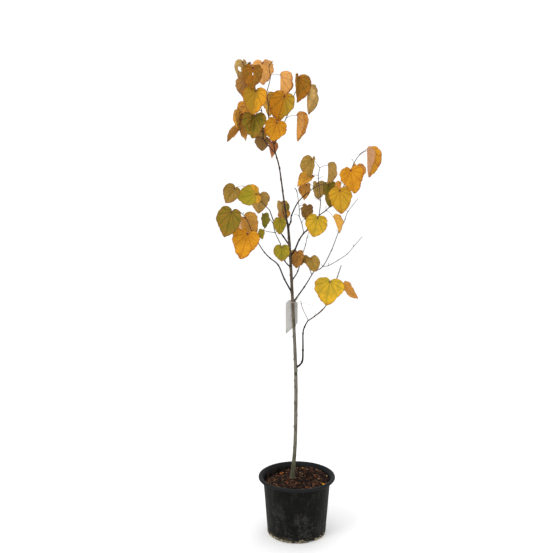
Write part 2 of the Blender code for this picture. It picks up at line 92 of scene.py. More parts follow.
def joinAll(pieces, name):
    activate(pieces[0])
    for piece in pieces[1:]:
        piece.select_set(True)
    if len(pieces) > 1:
        bpy.ops.object.join()
    return nameAdded(name)


def copyOf(piece, name):
    made = piece.copy()
    made.data = piece.data.copy()
    made.name = name
    bpy.context.scene.collection.objects.link(made)
    return made


def removePiece(piece):
    spent = piece.data
    bpy.data.objects.remove(piece, do_unlink=True)
    bpy.data.meshes.remove(spent)


def dress(piece, *materials):
    piece.data.materials.clear()
    for material in materials:
        piece.data.materials.append(material)


def faceOutwards(piece):
    activate(piece)
    bpy.ops.object.mode_set(mode="EDIT")
    bpy.ops.mesh.select_all(action="SELECT")
    bpy.ops.mesh.normals_make_consistent(inside=False)
    bpy.ops.object.mode_set(mode="OBJECT")


def smoothUnder(degrees):        # sharp only where faces meet at more than this
    bpy.ops.object.shade_smooth_by_angle(angle=math.radians(degrees))


def pointsOf(mesh):
    flat = np.zeros(len(mesh.vertices) * 3)
    mesh.vertices.foreach_get("co", flat)
    return flat.reshape(-1, 3)


def setPoints(mesh, points):
    mesh.vertices.foreach_set("co", np.asarray(points, float).ravel())
    mesh.update()


def addAttribute(mesh, name, values):
    made = mesh.attributes.new(name, "FLOAT", "POINT")
    made.data.foreach_set("value", np.asarray(values, np.float32))


# Shader tools

def paint(red, green, blue):
    parts = [part / 255 for part in (red, green, blue)]
    return (*[part / 12.92 if part <= 0.04045 else ((part + 0.055) / 1.055) ** 2.4 for part in parts], 1)


class Wire:                      # a socket that can be used in sums
    def __init__(self, maker, out):
        self.maker = maker
        self.out = out

    def __add__(self, other):
        return self.maker.math("ADD", self, other)

    def __sub__(self, other):
        return self.maker.math("SUBTRACT", self, other)

    def __rsub__(self, other):
        return self.maker.math("SUBTRACT", other, self)

    def __mul__(self, other):
        return self.maker.math("MULTIPLY", self, other)

    def __truediv__(self, other):
        return self.maker.math("DIVIDE", self, other)

    __radd__ = __add__
    __rmul__ = __mul__


class Maker:                     # builds one material
    def __init__(self, name):
        self.material = bpy.data.materials.new(name)
        self.material.use_nodes = True
        self.tree = self.material.node_tree
        self.shader = self.tree.nodes["Principled BSDF"]

    def node(self, kind, settings=None, sockets=None, output=0):
        made = self.tree.nodes.new("ShaderNode" + kind)
        for key, value in (settings or {}).items():
            setattr(made, key, value)
        for key, value in (sockets or {}).items():
            self.fill(made.inputs[key], value)
        return Wire(self, made.outputs[output])

    def fill(self, socket, value):
        if isinstance(value, Wire):
            self.tree.links.new(value.out, socket)
        else:
            socket.default_value = value

    def math(self, operation, *values):
        return self.node("Math", {"operation": operation}, dict(enumerate(values)))

    def mix(self, share, low, high, blend="MIX"):
        return self.node("Mix", {"data_type": "RGBA", "blend_type": blend}, {0: share, 6: low, 7: high}, 2)

    def ramp(self, value, low, high):        # smooth step from 0 at low to 1 at high
        return self.node("MapRange", {"interpolation_type": "SMOOTHSTEP"}, {0: value, 1: low, 2: high})

    def place(self, scale=(1, 1, 1), turn=(0, 0, 0)):
        coords = self.node("TexCoord", output="Object")
        return self.node("Mapping", {}, {"Vector": coords, "Scale": scale, "Rotation": turn})

    def axis(self, vector, which):
        return self.node("SeparateXYZ", {}, {0: vector}, which)

    def noise(self, vector, scale, detail=3, roughness=0.55, swirl=0.0):
        return self.node("TexNoise", {}, {"Vector": vector, "Scale": scale, "Detail": detail,
                                          "Roughness": roughness, "Distortion": swirl}, "Fac")

    def cells(self, vector, scale, feature="F1"):
        return self.node("TexVoronoi", {"feature": feature}, {"Vector": vector, "Scale": scale}, "Distance")

    def attribute(self, name):
        return self.node("Attribute", {"attribute_name": name}, {}, "Fac")

    def finish(self, colour, roughness, height=None, depth=mm, shine=0.25):
        self.fill(self.shader.inputs["Base Color"], colour)
        self.fill(self.shader.inputs["Roughness"], roughness)
        if height is not None:
            bump = self.node("Bump", {}, {"Height": height, "Distance": depth, "Strength": 1.0}, "Normal")
            self.fill(self.shader.inputs["Normal"], bump)
        self.shader.inputs["Specular IOR Level"].default_value = shine
        return self.material


# Limbs grow in runs: one run is the wood between two buds, as (length in mm, rise, new heading)

def headingVector(heading, rise):
    turn, lift = math.radians(heading), math.radians(rise)
    return Vector((math.cos(lift) * math.cos(turn), math.cos(lift) * math.sin(turn), math.sin(lift)))


def budChain(start, heading, runs):
    points = [start.copy()]
    for run in runs:
        heading = run[2] if len(run) > 2 else heading
        points.append(points[-1] + headingVector(heading, run[1]) * run[0] * mm)
    return points


def curveAt(buds, place):        # smooth curve through the buds
    count = len(buds) - 1
    run = min(int(place), count - 1)
    t = place - run
    a = buds[run - 1] if run else buds[0] * 2 - buds[1]
    b, c = buds[run], buds[run + 1]
    d = buds[run + 2] if run + 2 <= count else buds[count] * 2 - buds[count - 1]
    return 0.5 * (2 * b + (c - a) * t + (2 * a - 5 * b + 4 * c - d) * t ** 2
                  + (3 * b - a - 3 * c + d) * t ** 3)


def smoothPath(buds, samples):
    return [curveAt(buds, i / samples) for i in range((len(buds) - 1) * samples + 1)]


def lengthsAlong(path):
    lengths = [0.0]
    for a, b in zip(path, path[1:]):
        lengths.append(lengths[-1] + (b - a).length)
    return lengths


wood = {
    "samples": 14,               # rings to a run of bough or twig
    "trunkSamples": 48,
    "stout": 1.25,               # the bark stands this much outside the bare limb
    "collar": 0.9,               # mm of extra radius where a bough leaves the trunk
    "collarFade": 9 * mm,
    "nodeSwell": 0.42,           # share that a limb swells by at each bud
    "nodeReach": 2.4 * mm,
    "tipShrink": 0.55,           # a twig's last mm draw in to this share
    "relief": (0.22 * mm, 3.5 * mm, 4),      # depth, grain and stretch of a bough's bark
    "boughScar": 3.4 * mm,       # how far the dark scar at a bud reaches
    "twigScar": 2.6 * mm,
    "twigRadii": (1.1, 0.8),
    "spurLength": (9 * mm, 22 * mm),
    "spurRadii": (0.85, 0.55),
    "spurChance": 0.55,
    "spurStray": 60,             # degrees that a spur strays round its shoot, in all
    "spurRise": (20, 45),        # its least rise, and how much more it may have
    "budLength": 4.2 * mm,
    "budRadii": (0.9, 1.4, 1.2, 0.65, 0.12),
    "budSeat": 0.55,             # share of the limb's radius that a bud starts at
    "budSpread": 25,             # degrees that a bud strays round the limb, and that it lifts
}


def taper(path, foot, tip, samples, collar=0.0):
    lengths = lengthsAlong(path)
    nodes = lengths[samples::samples][:-1]
    radii = []
    for s in lengths:
        radius = foot + (tip - foot) * s / lengths[-1] + collar * math.exp(-s / wood["collarFade"])
        swell = sum(math.exp(-((s - node) / wood["nodeReach"]) ** 2) for node in nodes)
        radii.append(radius * wood["stout"] * (1 + wood["nodeSwell"] * swell))
    return radii


def drawnOut(thick, thin, count):            # radii that fall evenly
    return [thick + (thin - thick) * i / (count - 1) for i in range(count)]


def strandMesh(name, strands, roundness, material):
    deselectAll()
    bpy.ops.curve.primitive_nurbs_path_add()
    piece = nameAdded(name)
    line = piece.data
    line.splines.clear()
    for path, radii in strands:
        spline = line.splines.new("POLY")
        spline.points.add(len(path) - 1)
        for point, spot, radius in zip(spline.points, path, radii):
            point.co = (*spot, 1)
            point.radius = radius
    line.bevel_depth = mm
    line.bevel_resolution = roundness
    line.use_fill_caps = True
    bpy.ops.object.convert(target="MESH")
    piece = nameAdded(name)
    bpy.ops.object.mode_set(mode="EDIT")
    bpy.ops.mesh.select_all(action="SELECT")
    bpy.ops.mesh.remove_doubles(threshold=0.0002 * mm)
    bpy.ops.mesh.normals_make_consistent(inside=False)
    bpy.ops.object.mode_set(mode="OBJECT")
    bpy.ops.object.shade_smooth()
    dress(piece, material)
    return piece


def markScars(piece, spots, reach):          # 1 on the bark at each bud, fading over its reach
    points = pointsOf(piece.data)
    near = np.full(len(points), 1.0)
    for spot in spots:
        near = np.minimum(near, np.linalg.norm(points - np.array(spot), axis=1))
    addAttribute(piece.data, "scar", np.exp(-(near / reach) ** 2))


def roughenBark(piece, depth, grain, stretch):
    mesh = piece.data
    points = pointsOf(mesh)
    moved = []
    for vert, point in zip(mesh.vertices, points):
        spot = Vector((point[0] / grain, point[1] / grain, point[2] / (grain * stretch)))
        shift = noise.noise(spot) + 0.5 * noise.noise(spot * 2.7)
        moved.append(Vector(point) + vert.normal * shift * depth)
    setPoints(mesh, moved)


# Bark

barkLooks = {                    # main colour; shade and streak are tints that darken it
    "trunkBark": {"main": paint(117, 113, 101), "shade": (0.66, 0.64, 0.60, 1),
                  "streak": (0.45, 0.41, 0.36, 1), "pore": paint(168, 162, 146),
                  "scar": paint(56, 36, 28), "roughness": 0.78, "moss": paint(99, 100, 79),
                  "brown": paint(92, 80, 65), "dark": paint(64, 52, 44), "band": paint(52, 58, 34),
                  "bandHeight": 0.678},
    "boughBark": {"main": paint(52, 40, 34), "shade": (0.5, 0.47, 0.45, 1), "streak": (0.4, 0.36, 0.34, 1),
                  "pore": paint(104, 90, 80), "scar": paint(24, 16, 13), "roughness": 0.7,
                  # low: painted shade, the darker colour that the lowest bough is given
                  "low": paint(34, 24, 20)},
    "twigBark": {"main": paint(74, 58, 50), "shade": (0.55, 0.5, 0.48, 1), "streak": (0.45, 0.4, 0.38, 1),
                 "pore": paint(140, 122, 108), "scar": paint(38, 25, 21), "roughness": 0.68},
    "stalkSkin": {"main": paint(138, 100, 80), "shade": (0.7, 0.56, 0.5, 1), "streak": (0.6, 0.48, 0.42, 1),
                  "pore": paint(168, 130, 98), "scar": paint(88, 38, 26), "roughness": 0.6},
}


def barkMaterial(name):
    look = barkLooks[name]
    maker = Maker(name)
    patches = maker.noise(maker.place((1, 1, 0.35)), 60, 4)
    grain = maker.noise(maker.place((1, 1, 0.1)), 480, 5, 0.65)
    crack = maker.noise(maker.place((1, 1, 0.045)), 900, 3, 0.6)
    pores = maker.cells(maker.place((1, 1, 0.7)), 210)
    pore = 1 - maker.ramp(pores, 0.10, 0.22)
    colour = look["main"]
    if "moss" in look:           # green at the foot, browner with height, dark above the boughs
        height = maker.axis(maker.place(), "Z")
        wander = height + (patches - 0.5) * 0.22
        colour = maker.mix(maker.ramp(wander, 0.26, 0.44), look["moss"], colour)
        colour = maker.mix(maker.ramp(wander, 0.80, 1.0), colour, look["brown"])
        colour = maker.mix(maker.ramp(wander, 1.14, 1.32), colour, look["dark"])
    if "low" in look:            # the lowest bough is darker: painted shade
        colour = maker.mix(maker.ramp(maker.axis(maker.place(), "Z"), 0.92, 1.02), look["low"], colour)
    colour = maker.mix(maker.ramp(patches, 0.40, 0.62), colour, look["shade"], "MULTIPLY")
    colour = maker.mix(maker.ramp(grain, 0.48, 0.70) * 0.8, colour, look["streak"], "MULTIPLY")
    colour = maker.mix(maker.ramp(crack, 0.56, 0.70) * 0.7, colour, look["streak"], "MULTIPLY")
    colour = maker.mix(pore * 0.55, colour, look["pore"])
    if "band" in look:           # the dark ring round the stem
        offBand = maker.math("ABSOLUTE", height - look["bandHeight"]) + (grain - 0.5) * 0.003
        colour = maker.mix((1 - maker.ramp(offBand, 0.0058, 0.0078)) * 0.95, colour, look["band"])
    colour = maker.mix(maker.attribute("scar") * 0.92, colour, look["scar"])
    relief = pore * 0.5 + patches * 0.4 - maker.ramp(grain, 0.45, 0.7) * 0.6
    relief -= maker.ramp(crack, 0.5, 0.7) * 0.5
    rough = maker.ramp(grain, 0, 1) * 0.2 + (look["roughness"] - 0.1)
    return maker.finish(colour, rough, relief, 0.6 * mm, 0.2)


barks = {name: barkMaterial(name) for name in barkLooks}
print("bark materials made")


# Trunk

mixLevel = 220 * mm
trunk = {
    "foot": Vector((-19 * mm, 30 * mm, mixLevel + 0.3 * mm)),
    "runs": (
        (150, 85, 330), (145, 89, 340), (135, 90, 0), (150, 88, 190), (155, 87, 190), (170, 87, 190),
        (150, 86, 190), (45, 80, 180), (90, 82, 180), (115, 82, 180), (60, 75, 180), (55, 78, 175),
    ),
    "flare": 3.4,                # mm of extra radius at the soil
    "flareFade": 30 * mm,
    "girth": ((0.22, 8.6), (0.36, 7.6), (0.60, 7.5), (0.95, 6.3), (1.25, 5.3), (1.33, 3.7), (1.63, 2.3)),
    "scars": (                   # height and heading of each bud scar on the stem
        (0.289, 215), (0.325, 40), (0.360, 222), (0.405, 70), (0.451, 200), (0.500, 20), (0.553, 206),
        (0.600, 55), (0.621, 218), (0.647, 196), (0.690, 30), (0.739, 202), (0.790, 65), (0.835, 206),
        (0.880, 350), (0.922, 204), (0.955, 100), (1.090, 190), (1.145, 20), (1.240, 215), (1.330, 30),
        (1.385, 240), (1.430, 60), (1.475, 200), (1.520, 330), (1.560, 120)),
    "scarBulge": 2.1 * mm,
    "scarReach": 4.0 * mm,
    "scarStain": 4.8 * mm,
    "collarBulge": 1.8 * mm,     # the swelling under each bough
    "collarReach": 8 * mm,
    "bandPinch": 0.5 * mm,       # the stem is slightly waisted at its dark ring
    "bandReach": 6 * mm,
    "ridges": 5,                 # low flutes that run down into the flare
    "ridgeDepth": 1.3 * mm,
    "ridgeFade": 48 * mm,
    "relief": (0.3 * mm, 5 * mm, 6),
}


def trunkGirth(height):
    flare = trunk["flare"] * math.exp((mixLevel - height) / trunk["flareFade"])
    for (low, wide), (high, slim) in zip(trunk["girth"], trunk["girth"][1:]):
        if height <= high:
            share = max(0.0, (height - low) / (high - low))
            return wide + (slim - wide) * share + flare
    return trunk["girth"][-1][1]


def heightOn(path, height):
    for low, high in zip(path, path[1:]):
        if low.z <= height <= high.z:
            return low.lerp(high, (height - low.z) / (high.z - low.z))
    return path[-1]


trunkBuds = budChain(trunk["foot"], 0, trunk["runs"])
trunkPath = smoothPath(trunkBuds, wood["trunkSamples"])
skeleton = {"trunk": trunkBuds}


def onTrunk(height, heading):
    return heightOn(trunkPath, height) + headingVector(heading, 0) * trunkGirth(height) * mm


def buildTrunk(boughFeet):
    radii = [trunkGirth(point.z) for point in trunkPath]
    piece = strandMesh("trunkBark", [(trunkPath, radii)], 12, barks["trunkBark"])
    mesh = piece.data
    scars = [onTrunk(height, heading) for height, heading in trunk["scars"]]
    collars = [foot + way * trunkGirth(foot.z) * mm for foot, way in boughFeet]
    bumps = [(spot, trunk["scarBulge"], trunk["scarReach"]) for spot in scars]
    bumps += [(spot, trunk["collarBulge"], trunk["collarReach"]) for spot in collars]
    bandHeight = barkLooks["trunkBark"]["bandHeight"]
    moved = []
    for vert in mesh.vertices:
        point = vert.co.copy()
        away = point - heightOn(trunkPath, point.z)
        around = math.atan2(away.y, away.x)
        flare = math.exp((mixLevel - point.z) / trunk["ridgeFade"])
        push = trunk["ridgeDepth"] * flare * math.sin(trunk["ridges"] * around)
        push -= trunk["bandPinch"] * math.exp(-((point.z - bandHeight) / trunk["bandReach"]) ** 2)
        for spot, size, reach in bumps:
            if abs(point.z - spot.z) < 3 * reach:
                push += size * math.exp(-((point - spot).length / reach) ** 2)
        moved.append(point + vert.normal * push)
    setPoints(mesh, moved)
    roughenBark(piece, *trunk["relief"])
    markScars(piece, scars, trunk["scarStain"])
    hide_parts("trunk")
    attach(piece, "root")


# Boughs: parent, place on it (a height on the trunk, or a number of runs; None is the tip)

boughs = {
    "bough_low_right": {"parent": "trunk", "place": 0.700, "heading": 325, "foot": 3.4, "tip": 2.0,
                        "runs": ((45, 45), (50, 85), (70, 90), (30, 75), (30, 60))},
    "bough_bare_right": {"parent": "trunk", "place": 0.975, "heading": 25, "foot": 2.6, "tip": 1.6,
                         "runs": ((80, 50), (75, 55))},
    "bough_left": {"parent": "trunk", "place": 1.015, "heading": 205, "foot": 2.9, "tip": 1.5,
                   "runs": ((70, 60), (65, 65), (45, 40), (35, 45), (45, 55))},
    "bough_back": {"parent": "trunk", "place": 1.065, "heading": 72, "foot": 2.3, "tip": 1.4,
                   "runs": ((85, 20), (85, 45))},
    "bough_front_left": {"parent": "trunk", "place": 1.120, "heading": 240, "foot": 2.3, "tip": 1.5,
                         "runs": ((60, 35), (50, 65), (30, 65))},
    "bough_right": {"parent": "trunk", "place": 1.165, "heading": 335, "foot": 3.0, "tip": 1.7,
                    "runs": ((35, 55), (45, 65), (35, 55), (20, 40), (40, 50), (30, 50), (15, 45))},
    "bough_upper_left": {"parent": "trunk", "place": 1.210, "heading": 150, "foot": 2.5, "tip": 1.5,
                         "runs": ((45, 50), (60, 50), (65, 65))},
    "bough_upper_right": {"parent": "trunk", "place": 1.285, "heading": 45, "foot": 2.5, "tip": 1.5,
                          "runs": ((25, 60, 30), (25, 80, 45), (60, 55), (60, 35))},
}


def startOf(limb):
    if limb["place"] is None:
        return skeleton[limb["parent"]][-1]
    if limb["parent"] == "trunk":
        return heightOn(trunkPath, limb["place"])
    return curveAt(skeleton[limb["parent"]], limb["place"])


def budStrand(foot, way):
    length = wood["budLength"]
    steps = len(wood["budRadii"]) - 1
    return [foot + way * length * i / steps for i in range(steps + 1)], wood["budRadii"]


def budStrands(buds, path, radii, samples, dice):     # a small bud on alternate sides at each node
    strands = []
    for i in range(1, len(buds) - 1):
        way = (path[i * samples + 1] - path[i * samples]).normalized()
        stray = dice.uniform(-wood["budSpread"], wood["budSpread"])
        heading = math.degrees(math.atan2(way.y, way.x)) + (90 if i % 2 else -90) + stray
        out = (headingVector(heading, wood["budSpread"]) + way * 0.7).normalized()
        strands.append(budStrand(buds[i] + out * radii[i * samples] * wood["budSeat"] * mm, out))
    return strands


def buildBoughs():
    pieces, feet = [], []
    samples = wood["samples"]
    for node, limb in boughs.items():
        buds = budChain(startOf(limb), limb["heading"], limb["runs"])
        skeleton[node] = buds
        path = smoothPath(buds, samples)
        radii = taper(path, limb["foot"], limb["tip"], samples, wood["collar"])
        dice = random.Random(node)
        name = "bark" + "".join(word.title() for word in node.split("_"))
        piece = strandMesh(name, [(path, radii)], 4, barks["boughBark"])
        roughenBark(piece, *wood["relief"])
        budPiece = strandMesh("buds", budStrands(buds, path, radii, samples, dice), 2, barks["boughBark"])
        piece = joinAll([piece, budPiece], name)
        markScars(piece, buds[1:], wood["boughScar"])
        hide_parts(node)
        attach(piece, "root")
        pieces.append(piece)
        feet.append((buds[0], (buds[1] - buds[0]).normalized()))
    return pieces, feet


boughPieces, boughFeet = buildBoughs()
buildTrunk(boughFeet)
print("trunk and", len(boughPieces), "boughs built")


# Leaves. A tint, one to a leaf, is its main, second, vein and edge colours, how broad the vein
# colour spreads, how dry the blade is, and how its two colours part if they don't just mottle.

leafTints = {
    "yellowGreen": ((218, 168, 36), (190, 152, 38), (142, 136, 36), (186, 118, 36), 1.6, 0.15),
    "goldenYellow": ((216, 160, 52), (198, 148, 56), (172, 112, 40), (158, 84, 36), 0.7, 0.25),
    "brightOrange": ((210, 146, 26), (196, 132, 24), (178, 106, 22), (150, 76, 22), 0.8, 0.15),
    "olderGold": ((202, 152, 32), (186, 144, 34), (152, 114, 30), (158, 90, 28), 0.9, 0.15),
    "pinkGold": ((220, 158, 40), (176, 130, 94), (164, 98, 46), (168, 90, 40), 0.7, 0.2,
                 {"split": 1.0, "start": -0.2}),
    "greenToGold": ((216, 150, 42), (158, 142, 32), (134, 124, 32), (172, 96, 30), 1.2, 0.2,
                    {"fromStalk": -0.08}),
    "goldSplit": ((212, 146, 26), (162, 122, 24), (152, 110, 28), (176, 94, 26), 1.0, 0.15,
                  {"split": 0.9, "start": -0.28}),
    "orangeGreen": ((202, 130, 20), (176, 140, 36), (130, 104, 30), (144, 70, 22), 1.2, 0.3,
                    {"split": -0.8}),
    "darkOlive": ((120, 101, 20), (140, 108, 28), (80, 82, 20), (146, 86, 26), 1.4, 0.3),
    "deepOlive": ((108, 93, 8), (128, 103, 18), (74, 74, 12), (124, 80, 24), 1.2, 0.25),
    "greenOlive": ((160, 138, 32), (132, 120, 30), (110, 104, 30), (160, 110, 36), 1.2, 0.2),
    "freshGreen": ((118, 108, 30), (98, 96, 24), (128, 122, 48), (120, 90, 36), 0.7, 0.2),
    "oliveTan": ((172, 136, 62), (156, 126, 52), (126, 98, 44), (138, 80, 38), 0.7, 0.35),
    "tanBrown": ((178, 126, 54), (160, 112, 48), (124, 78, 36), (124, 66, 32), 0.7, 0.35),
    "darkBrown": ((134, 100, 46), (116, 84, 40), (96, 66, 32), (90, 50, 28), 0.7, 0.4),
    "brownOrange": ((174, 112, 24), (136, 102, 26), (114, 70, 20), (138, 56, 20), 0.9, 0.4),
    "orangeTan": ((216, 150, 60), (198, 142, 64), (154, 92, 40), (150, 76, 32), 0.6, 0.3),
    "peach": ((230, 168, 80), (214, 158, 86), (178, 106, 56), (172, 92, 44), 0.6, 0.25),
    "paleTan": ((200, 164, 92), (180, 152, 84), (142, 112, 60), (132, 80, 42), 0.6, 0.3),
    "washedPink": ((238, 196, 142), (226, 182, 128), (192, 134, 88), (178, 106, 62), 0.5, 0.2),
    "rust": ((188, 108, 44), (164, 94, 46), (126, 66, 34), (116, 54, 28), 0.7, 0.35),
}
leafForm = {
    "stalk": 0.42,               # stalk length to blade width
    "units": 1.45,               # width of the outline formula's blade
    "fullness": 0.62,
    "tip": 0.24,
    "tipSpread": 0.42,
    "point": 0.07,               # a small drawn-out point on the tip
    "pointSpread": 0.13,
    "sweep": 0.965,              # the fan stops short of the notch's two banks
    "spokes": 96,
    "rings": 18,
    "veinTurn": 0.58,            # radians between the main veins that fan out from the stalk
    "groove": 0.020,
    "grooveWidth": 0.040,
    "sideVeins": 5.8,            # side veins to a blade length
    "sideSlope": 3.4,
    "quilt": 0.006,
    "ripple": (0.015, 0.05),
    "waves": (3, 4, 5),
    "wobble": 0.05,
    "buckle": 0.05,
    "twist": 0.12,
    "cup": (-0.05, 0.12),
    "curl": (0.02, 0.08),
    "hook": (-0.12, 0.3),        # how far the tip bends forward
    "shade": (0, 0.35),          # how much darker a leaf is than its tint
    "softFold": 0.035,
    "thickness": 0.5 * mm,
    "stalkSamples": 7,
    "stalkArch": 0.10,           # rise at mid stalk, to its length
    "stalkSeat": 0.6 * mm,       # how far behind the blade the stalk ends
    "stalkRun": (0.09, 1.3 * mm),            # and runs on under it, to the blade's width
    "stalkRadii": (0.72, 0.45, 0.4),         # mid stalk, and more at its foot and at the blade
    "bareRadii": (0.95, 0.55),   # a stalk whose leaf has dropped
}


def leafSide(name, tint, faded):
    main, second, vein, edge = (paint(*colour) for colour in tint[:4])
    broad, dryness = tint[4:6]
    parting = tint[6] if len(tint) > 6 else {}
    maker = Maker(name)
    sheet = maker.node("UVMap", {"uv_map": "UVMap"})
    across = (maker.axis(sheet, "X") - 0.5) * 2
    down = (maker.axis(sheet, "Y") - 0.25) * 2
    reach = maker.math("SQRT", across * across + down * down)
    spot = maker.place()
    drift = maker.noise(spot, 30, 3)
    blotch = maker.noise(spot, 100, 5, 0.62)
    fine = maker.noise(spot, 420, 4, 0.6)
    turns = maker.math("ARCTAN2", across, down) / leafForm["veinTurn"] + (blotch - 0.5) * 0.08
    sector = turns - maker.math("ROUND", turns)
    offTurn = maker.math("ABSOLUTE", sector)
    offVein = offTurn * leafForm["veinTurn"] * reach
    mainLine = 1 - maker.ramp(offVein, 0.003, 0.016 - reach * 0.008)
    mainBand = 1 - maker.ramp(offVein, 0.0, 0.06 * broad)
    slide = offTurn * reach * leafForm["sideSlope"]
    sideway = reach * leafForm["sideVeins"] - slide + maker.math("SIGN", sector) * 0.23 + (drift - 0.5) * 0.9
    sideGap = maker.math("ABSOLUTE", maker.math("FRACT", sideway) - 0.5)
    away = maker.ramp(reach, 0.1, 0.3)
    sideLine = (1 - maker.ramp(sideGap, 0.012, 0.05)) * away
    sideBand = (1 - maker.ramp(sideGap, 0.0, 0.16 * broad)) * away
    net = 1 - maker.ramp(maker.cells(spot, 430, "DISTANCE_TO_EDGE"), 0.015, 0.11)
    lines = maker.math("MAXIMUM", mainLine, sideLine * 0.32)
    bands = maker.math("MAXIMUM", mainBand, sideBand * 0.55)
    mottle = maker.ramp(drift + (blotch - 0.5) * 0.6, 0.38, 0.62)
    if "split" in parting:       # the two halves of the blade have turned at different times
        start = parting.get("start", 0)
        mottle = maker.ramp(across * parting["split"] + (drift + blotch - 1) * 0.5, start, start + 0.28)
    if "fromStalk" in parting:   # gold by the stalk, still green beyond this far down the blade
        start = parting["fromStalk"]
        mottle = maker.ramp(down + (drift + blotch - 1) * 0.7, start, start + 0.42)
    colour = maker.mix(mottle, main, second)
    for share in (bands * 0.5, lines * 0.5, net * 0.16):
        colour = maker.mix(share, colour, vein)
    dry = maker.ramp(blotch + (drift - 0.5) * 0.4, 0.56, 0.72)
    colour = maker.mix(dry * dryness, colour, edge)
    rim = maker.attribute("rim")
    rust = maker.ramp(rim + (blotch - 0.5) * 0.55 + (drift - 0.5) * 0.35, 0.84, 1.12)
    colour = maker.mix(rust * 0.85, colour, edge)
    crisp = maker.ramp(rim + (blotch - 0.5) * 0.12, 0.965, 1.0)
    colour = maker.mix(crisp * 0.55, colour, paint(112, 58, 28))
    speck = (1 - maker.ramp(maker.cells(spot, 170), 0.05, 0.16)) * maker.ramp(drift, 0.5, 0.6)
    colour = maker.mix(speck * 0.65, colour, paint(92, 50, 26))
    notch = 1 - maker.ramp(reach, 0.02, 0.10)
    colour = maker.mix(notch * 0.8, colour, paint(112, 40, 26))
    if faded:
        colour = maker.mix(0.14, colour, paint(214, 172, 122))
    colour = maker.mix(maker.attribute("shade"), colour, (0.68, 0.64, 0.58, 1), "MULTIPLY")
    sunk = lines * 0.8 + bands * 0.25
    relief = (sunk if faded else 1 - sunk) + net * 0.12 + fine * 0.35 + blotch * 0.35
    return maker.finish(colour, 0.52 + 0.16 * fine + 0.1 * float(faded), relief, 0.5 * mm, 0.12)


leafMaterials = {}
for name, tint in leafTints.items():
    leafMaterials[name] = (leafSide(name + "Top", tint, False), leafSide(name + "Under", tint, True))
print(len(leafTints), "leaf tints made")


def buildLeafSheet():            # a flat heart in units, its rows fanned out from the stalk's notch
    deselectAll()
    bpy.ops.mesh.primitive_grid_add(x_subdivisions=leafForm["spokes"], y_subdivisions=leafForm["rings"],
                                    size=2)
    sheet = nameAdded("leafSheet")
    flat = pointsOf(sheet.data)
    theta = flat[:, 0] * math.pi * leafForm["sweep"]
    share = (flat[:, 1] + 1) / 2
    edge = 1 + leafForm["tip"] * np.exp(-(theta / leafForm["tipSpread"]) ** 2)
    edge += leafForm["point"] * np.exp(-(theta / leafForm["pointSpread"]) ** 2)
    edge *= ((1 + np.cos(theta)) / 2) ** leafForm["fullness"]
    flat = np.stack([edge * share * np.sin(theta), edge * share * np.cos(theta), theta * 0], 1)
    setPoints(sheet.data, flat)
    addAttribute(sheet.data, "rim", share)
    addAttribute(sheet.data, "shade", theta * 0)
    chart = sheet.data.uv_layers[0]
    chart.name = "UVMap"
    for loop in sheet.data.loops:
        x, y, _ = flat[loop.vertex_index]
        chart.data[loop.index].uv = (0.5 + x / 2, 0.25 + y / 2)
    bpy.ops.object.mode_set(mode="EDIT")
    bpy.ops.mesh.select_all(action="SELECT")
    bpy.ops.mesh.remove_doubles(threshold=0.0001)
    bpy.ops.object.mode_set(mode="OBJECT")
    bpy.ops.object.shade_smooth()
    return sheet


def leafFrame(notch, face, tilt, lean):      # x across the blade, y down its midrib, z out of its face
    out = headingVector(face, tilt)
    down = (Vector((0, 0, -1)) + out * out.z).normalized()
    side = down.cross(out)
    rib = down * math.cos(math.radians(lean)) + side * math.sin(math.radians(lean))
    return Matrix.Translation(notch) @ Matrix((rib.cross(out), rib, out)).transposed().to_4x4()


def softNoise(turns, *steps):
    return np.array([sum(noise.noise(Vector((t * step, step, phase))) for step, phase in steps)
                     for t in turns])


def shapeLeaf(flat, rim, fold, cup, curl, dice, marks):
    x, y = flat[:, 0] * marks.get("wide", 1), flat[:, 1] * marks.get("long", 1)
    theta, reach = np.arctan2(x, y), np.hypot(x, y)
    phase, waves = dice.uniform(0, 6), dice.choice(leafForm["waves"])
    ragged = marks.get("ragged", 0.02)
    tatter = softNoise(theta, (1.7, phase), (4.3, phase + 3)) + 0.4 * softNoise(theta, (11.0, phase))
    shrink = 1 - (leafForm["wobble"] * tatter + ragged * np.maximum(0, tatter * 2)) * rim ** 2
    turns = theta / leafForm["veinTurn"]
    sector = np.abs(turns - np.round(turns))
    groove = np.exp(-(sector * leafForm["veinTurn"] * reach / leafForm["grooveWidth"]) ** 2)
    rows = reach * leafForm["sideVeins"] - sector * reach * leafForm["sideSlope"]
    quilt = np.cos(2 * math.pi * rows) * np.minimum(1, reach * 3)
    ripple = dice.uniform(*leafForm["ripple"]) * (1 + 4 * ragged)
    soft = leafForm["softFold"]
    lift = (np.sqrt(x * x + soft * soft) - soft) * math.sin(fold)
    lift += cup * x * x - curl * y * y
    lift += dice.uniform(-1, 1) * leafForm["twist"] * x * y
    lift += leafForm["quilt"] * quilt - leafForm["groove"] * groove * np.minimum(1, reach * 5)
    lift += ripple * rim ** 3 * np.sin(waves * theta + phase)
    lift += leafForm["buckle"] * rim ** 2 * softNoise(theta, (1.3, phase + 5), (3.1, phase))
    lift += marks.get("hook", dice.uniform(*leafForm["hook"])) * np.maximum(0, y - 0.7) ** 2
    return np.stack([x * shrink * math.cos(fold), y * shrink, lift], 1)


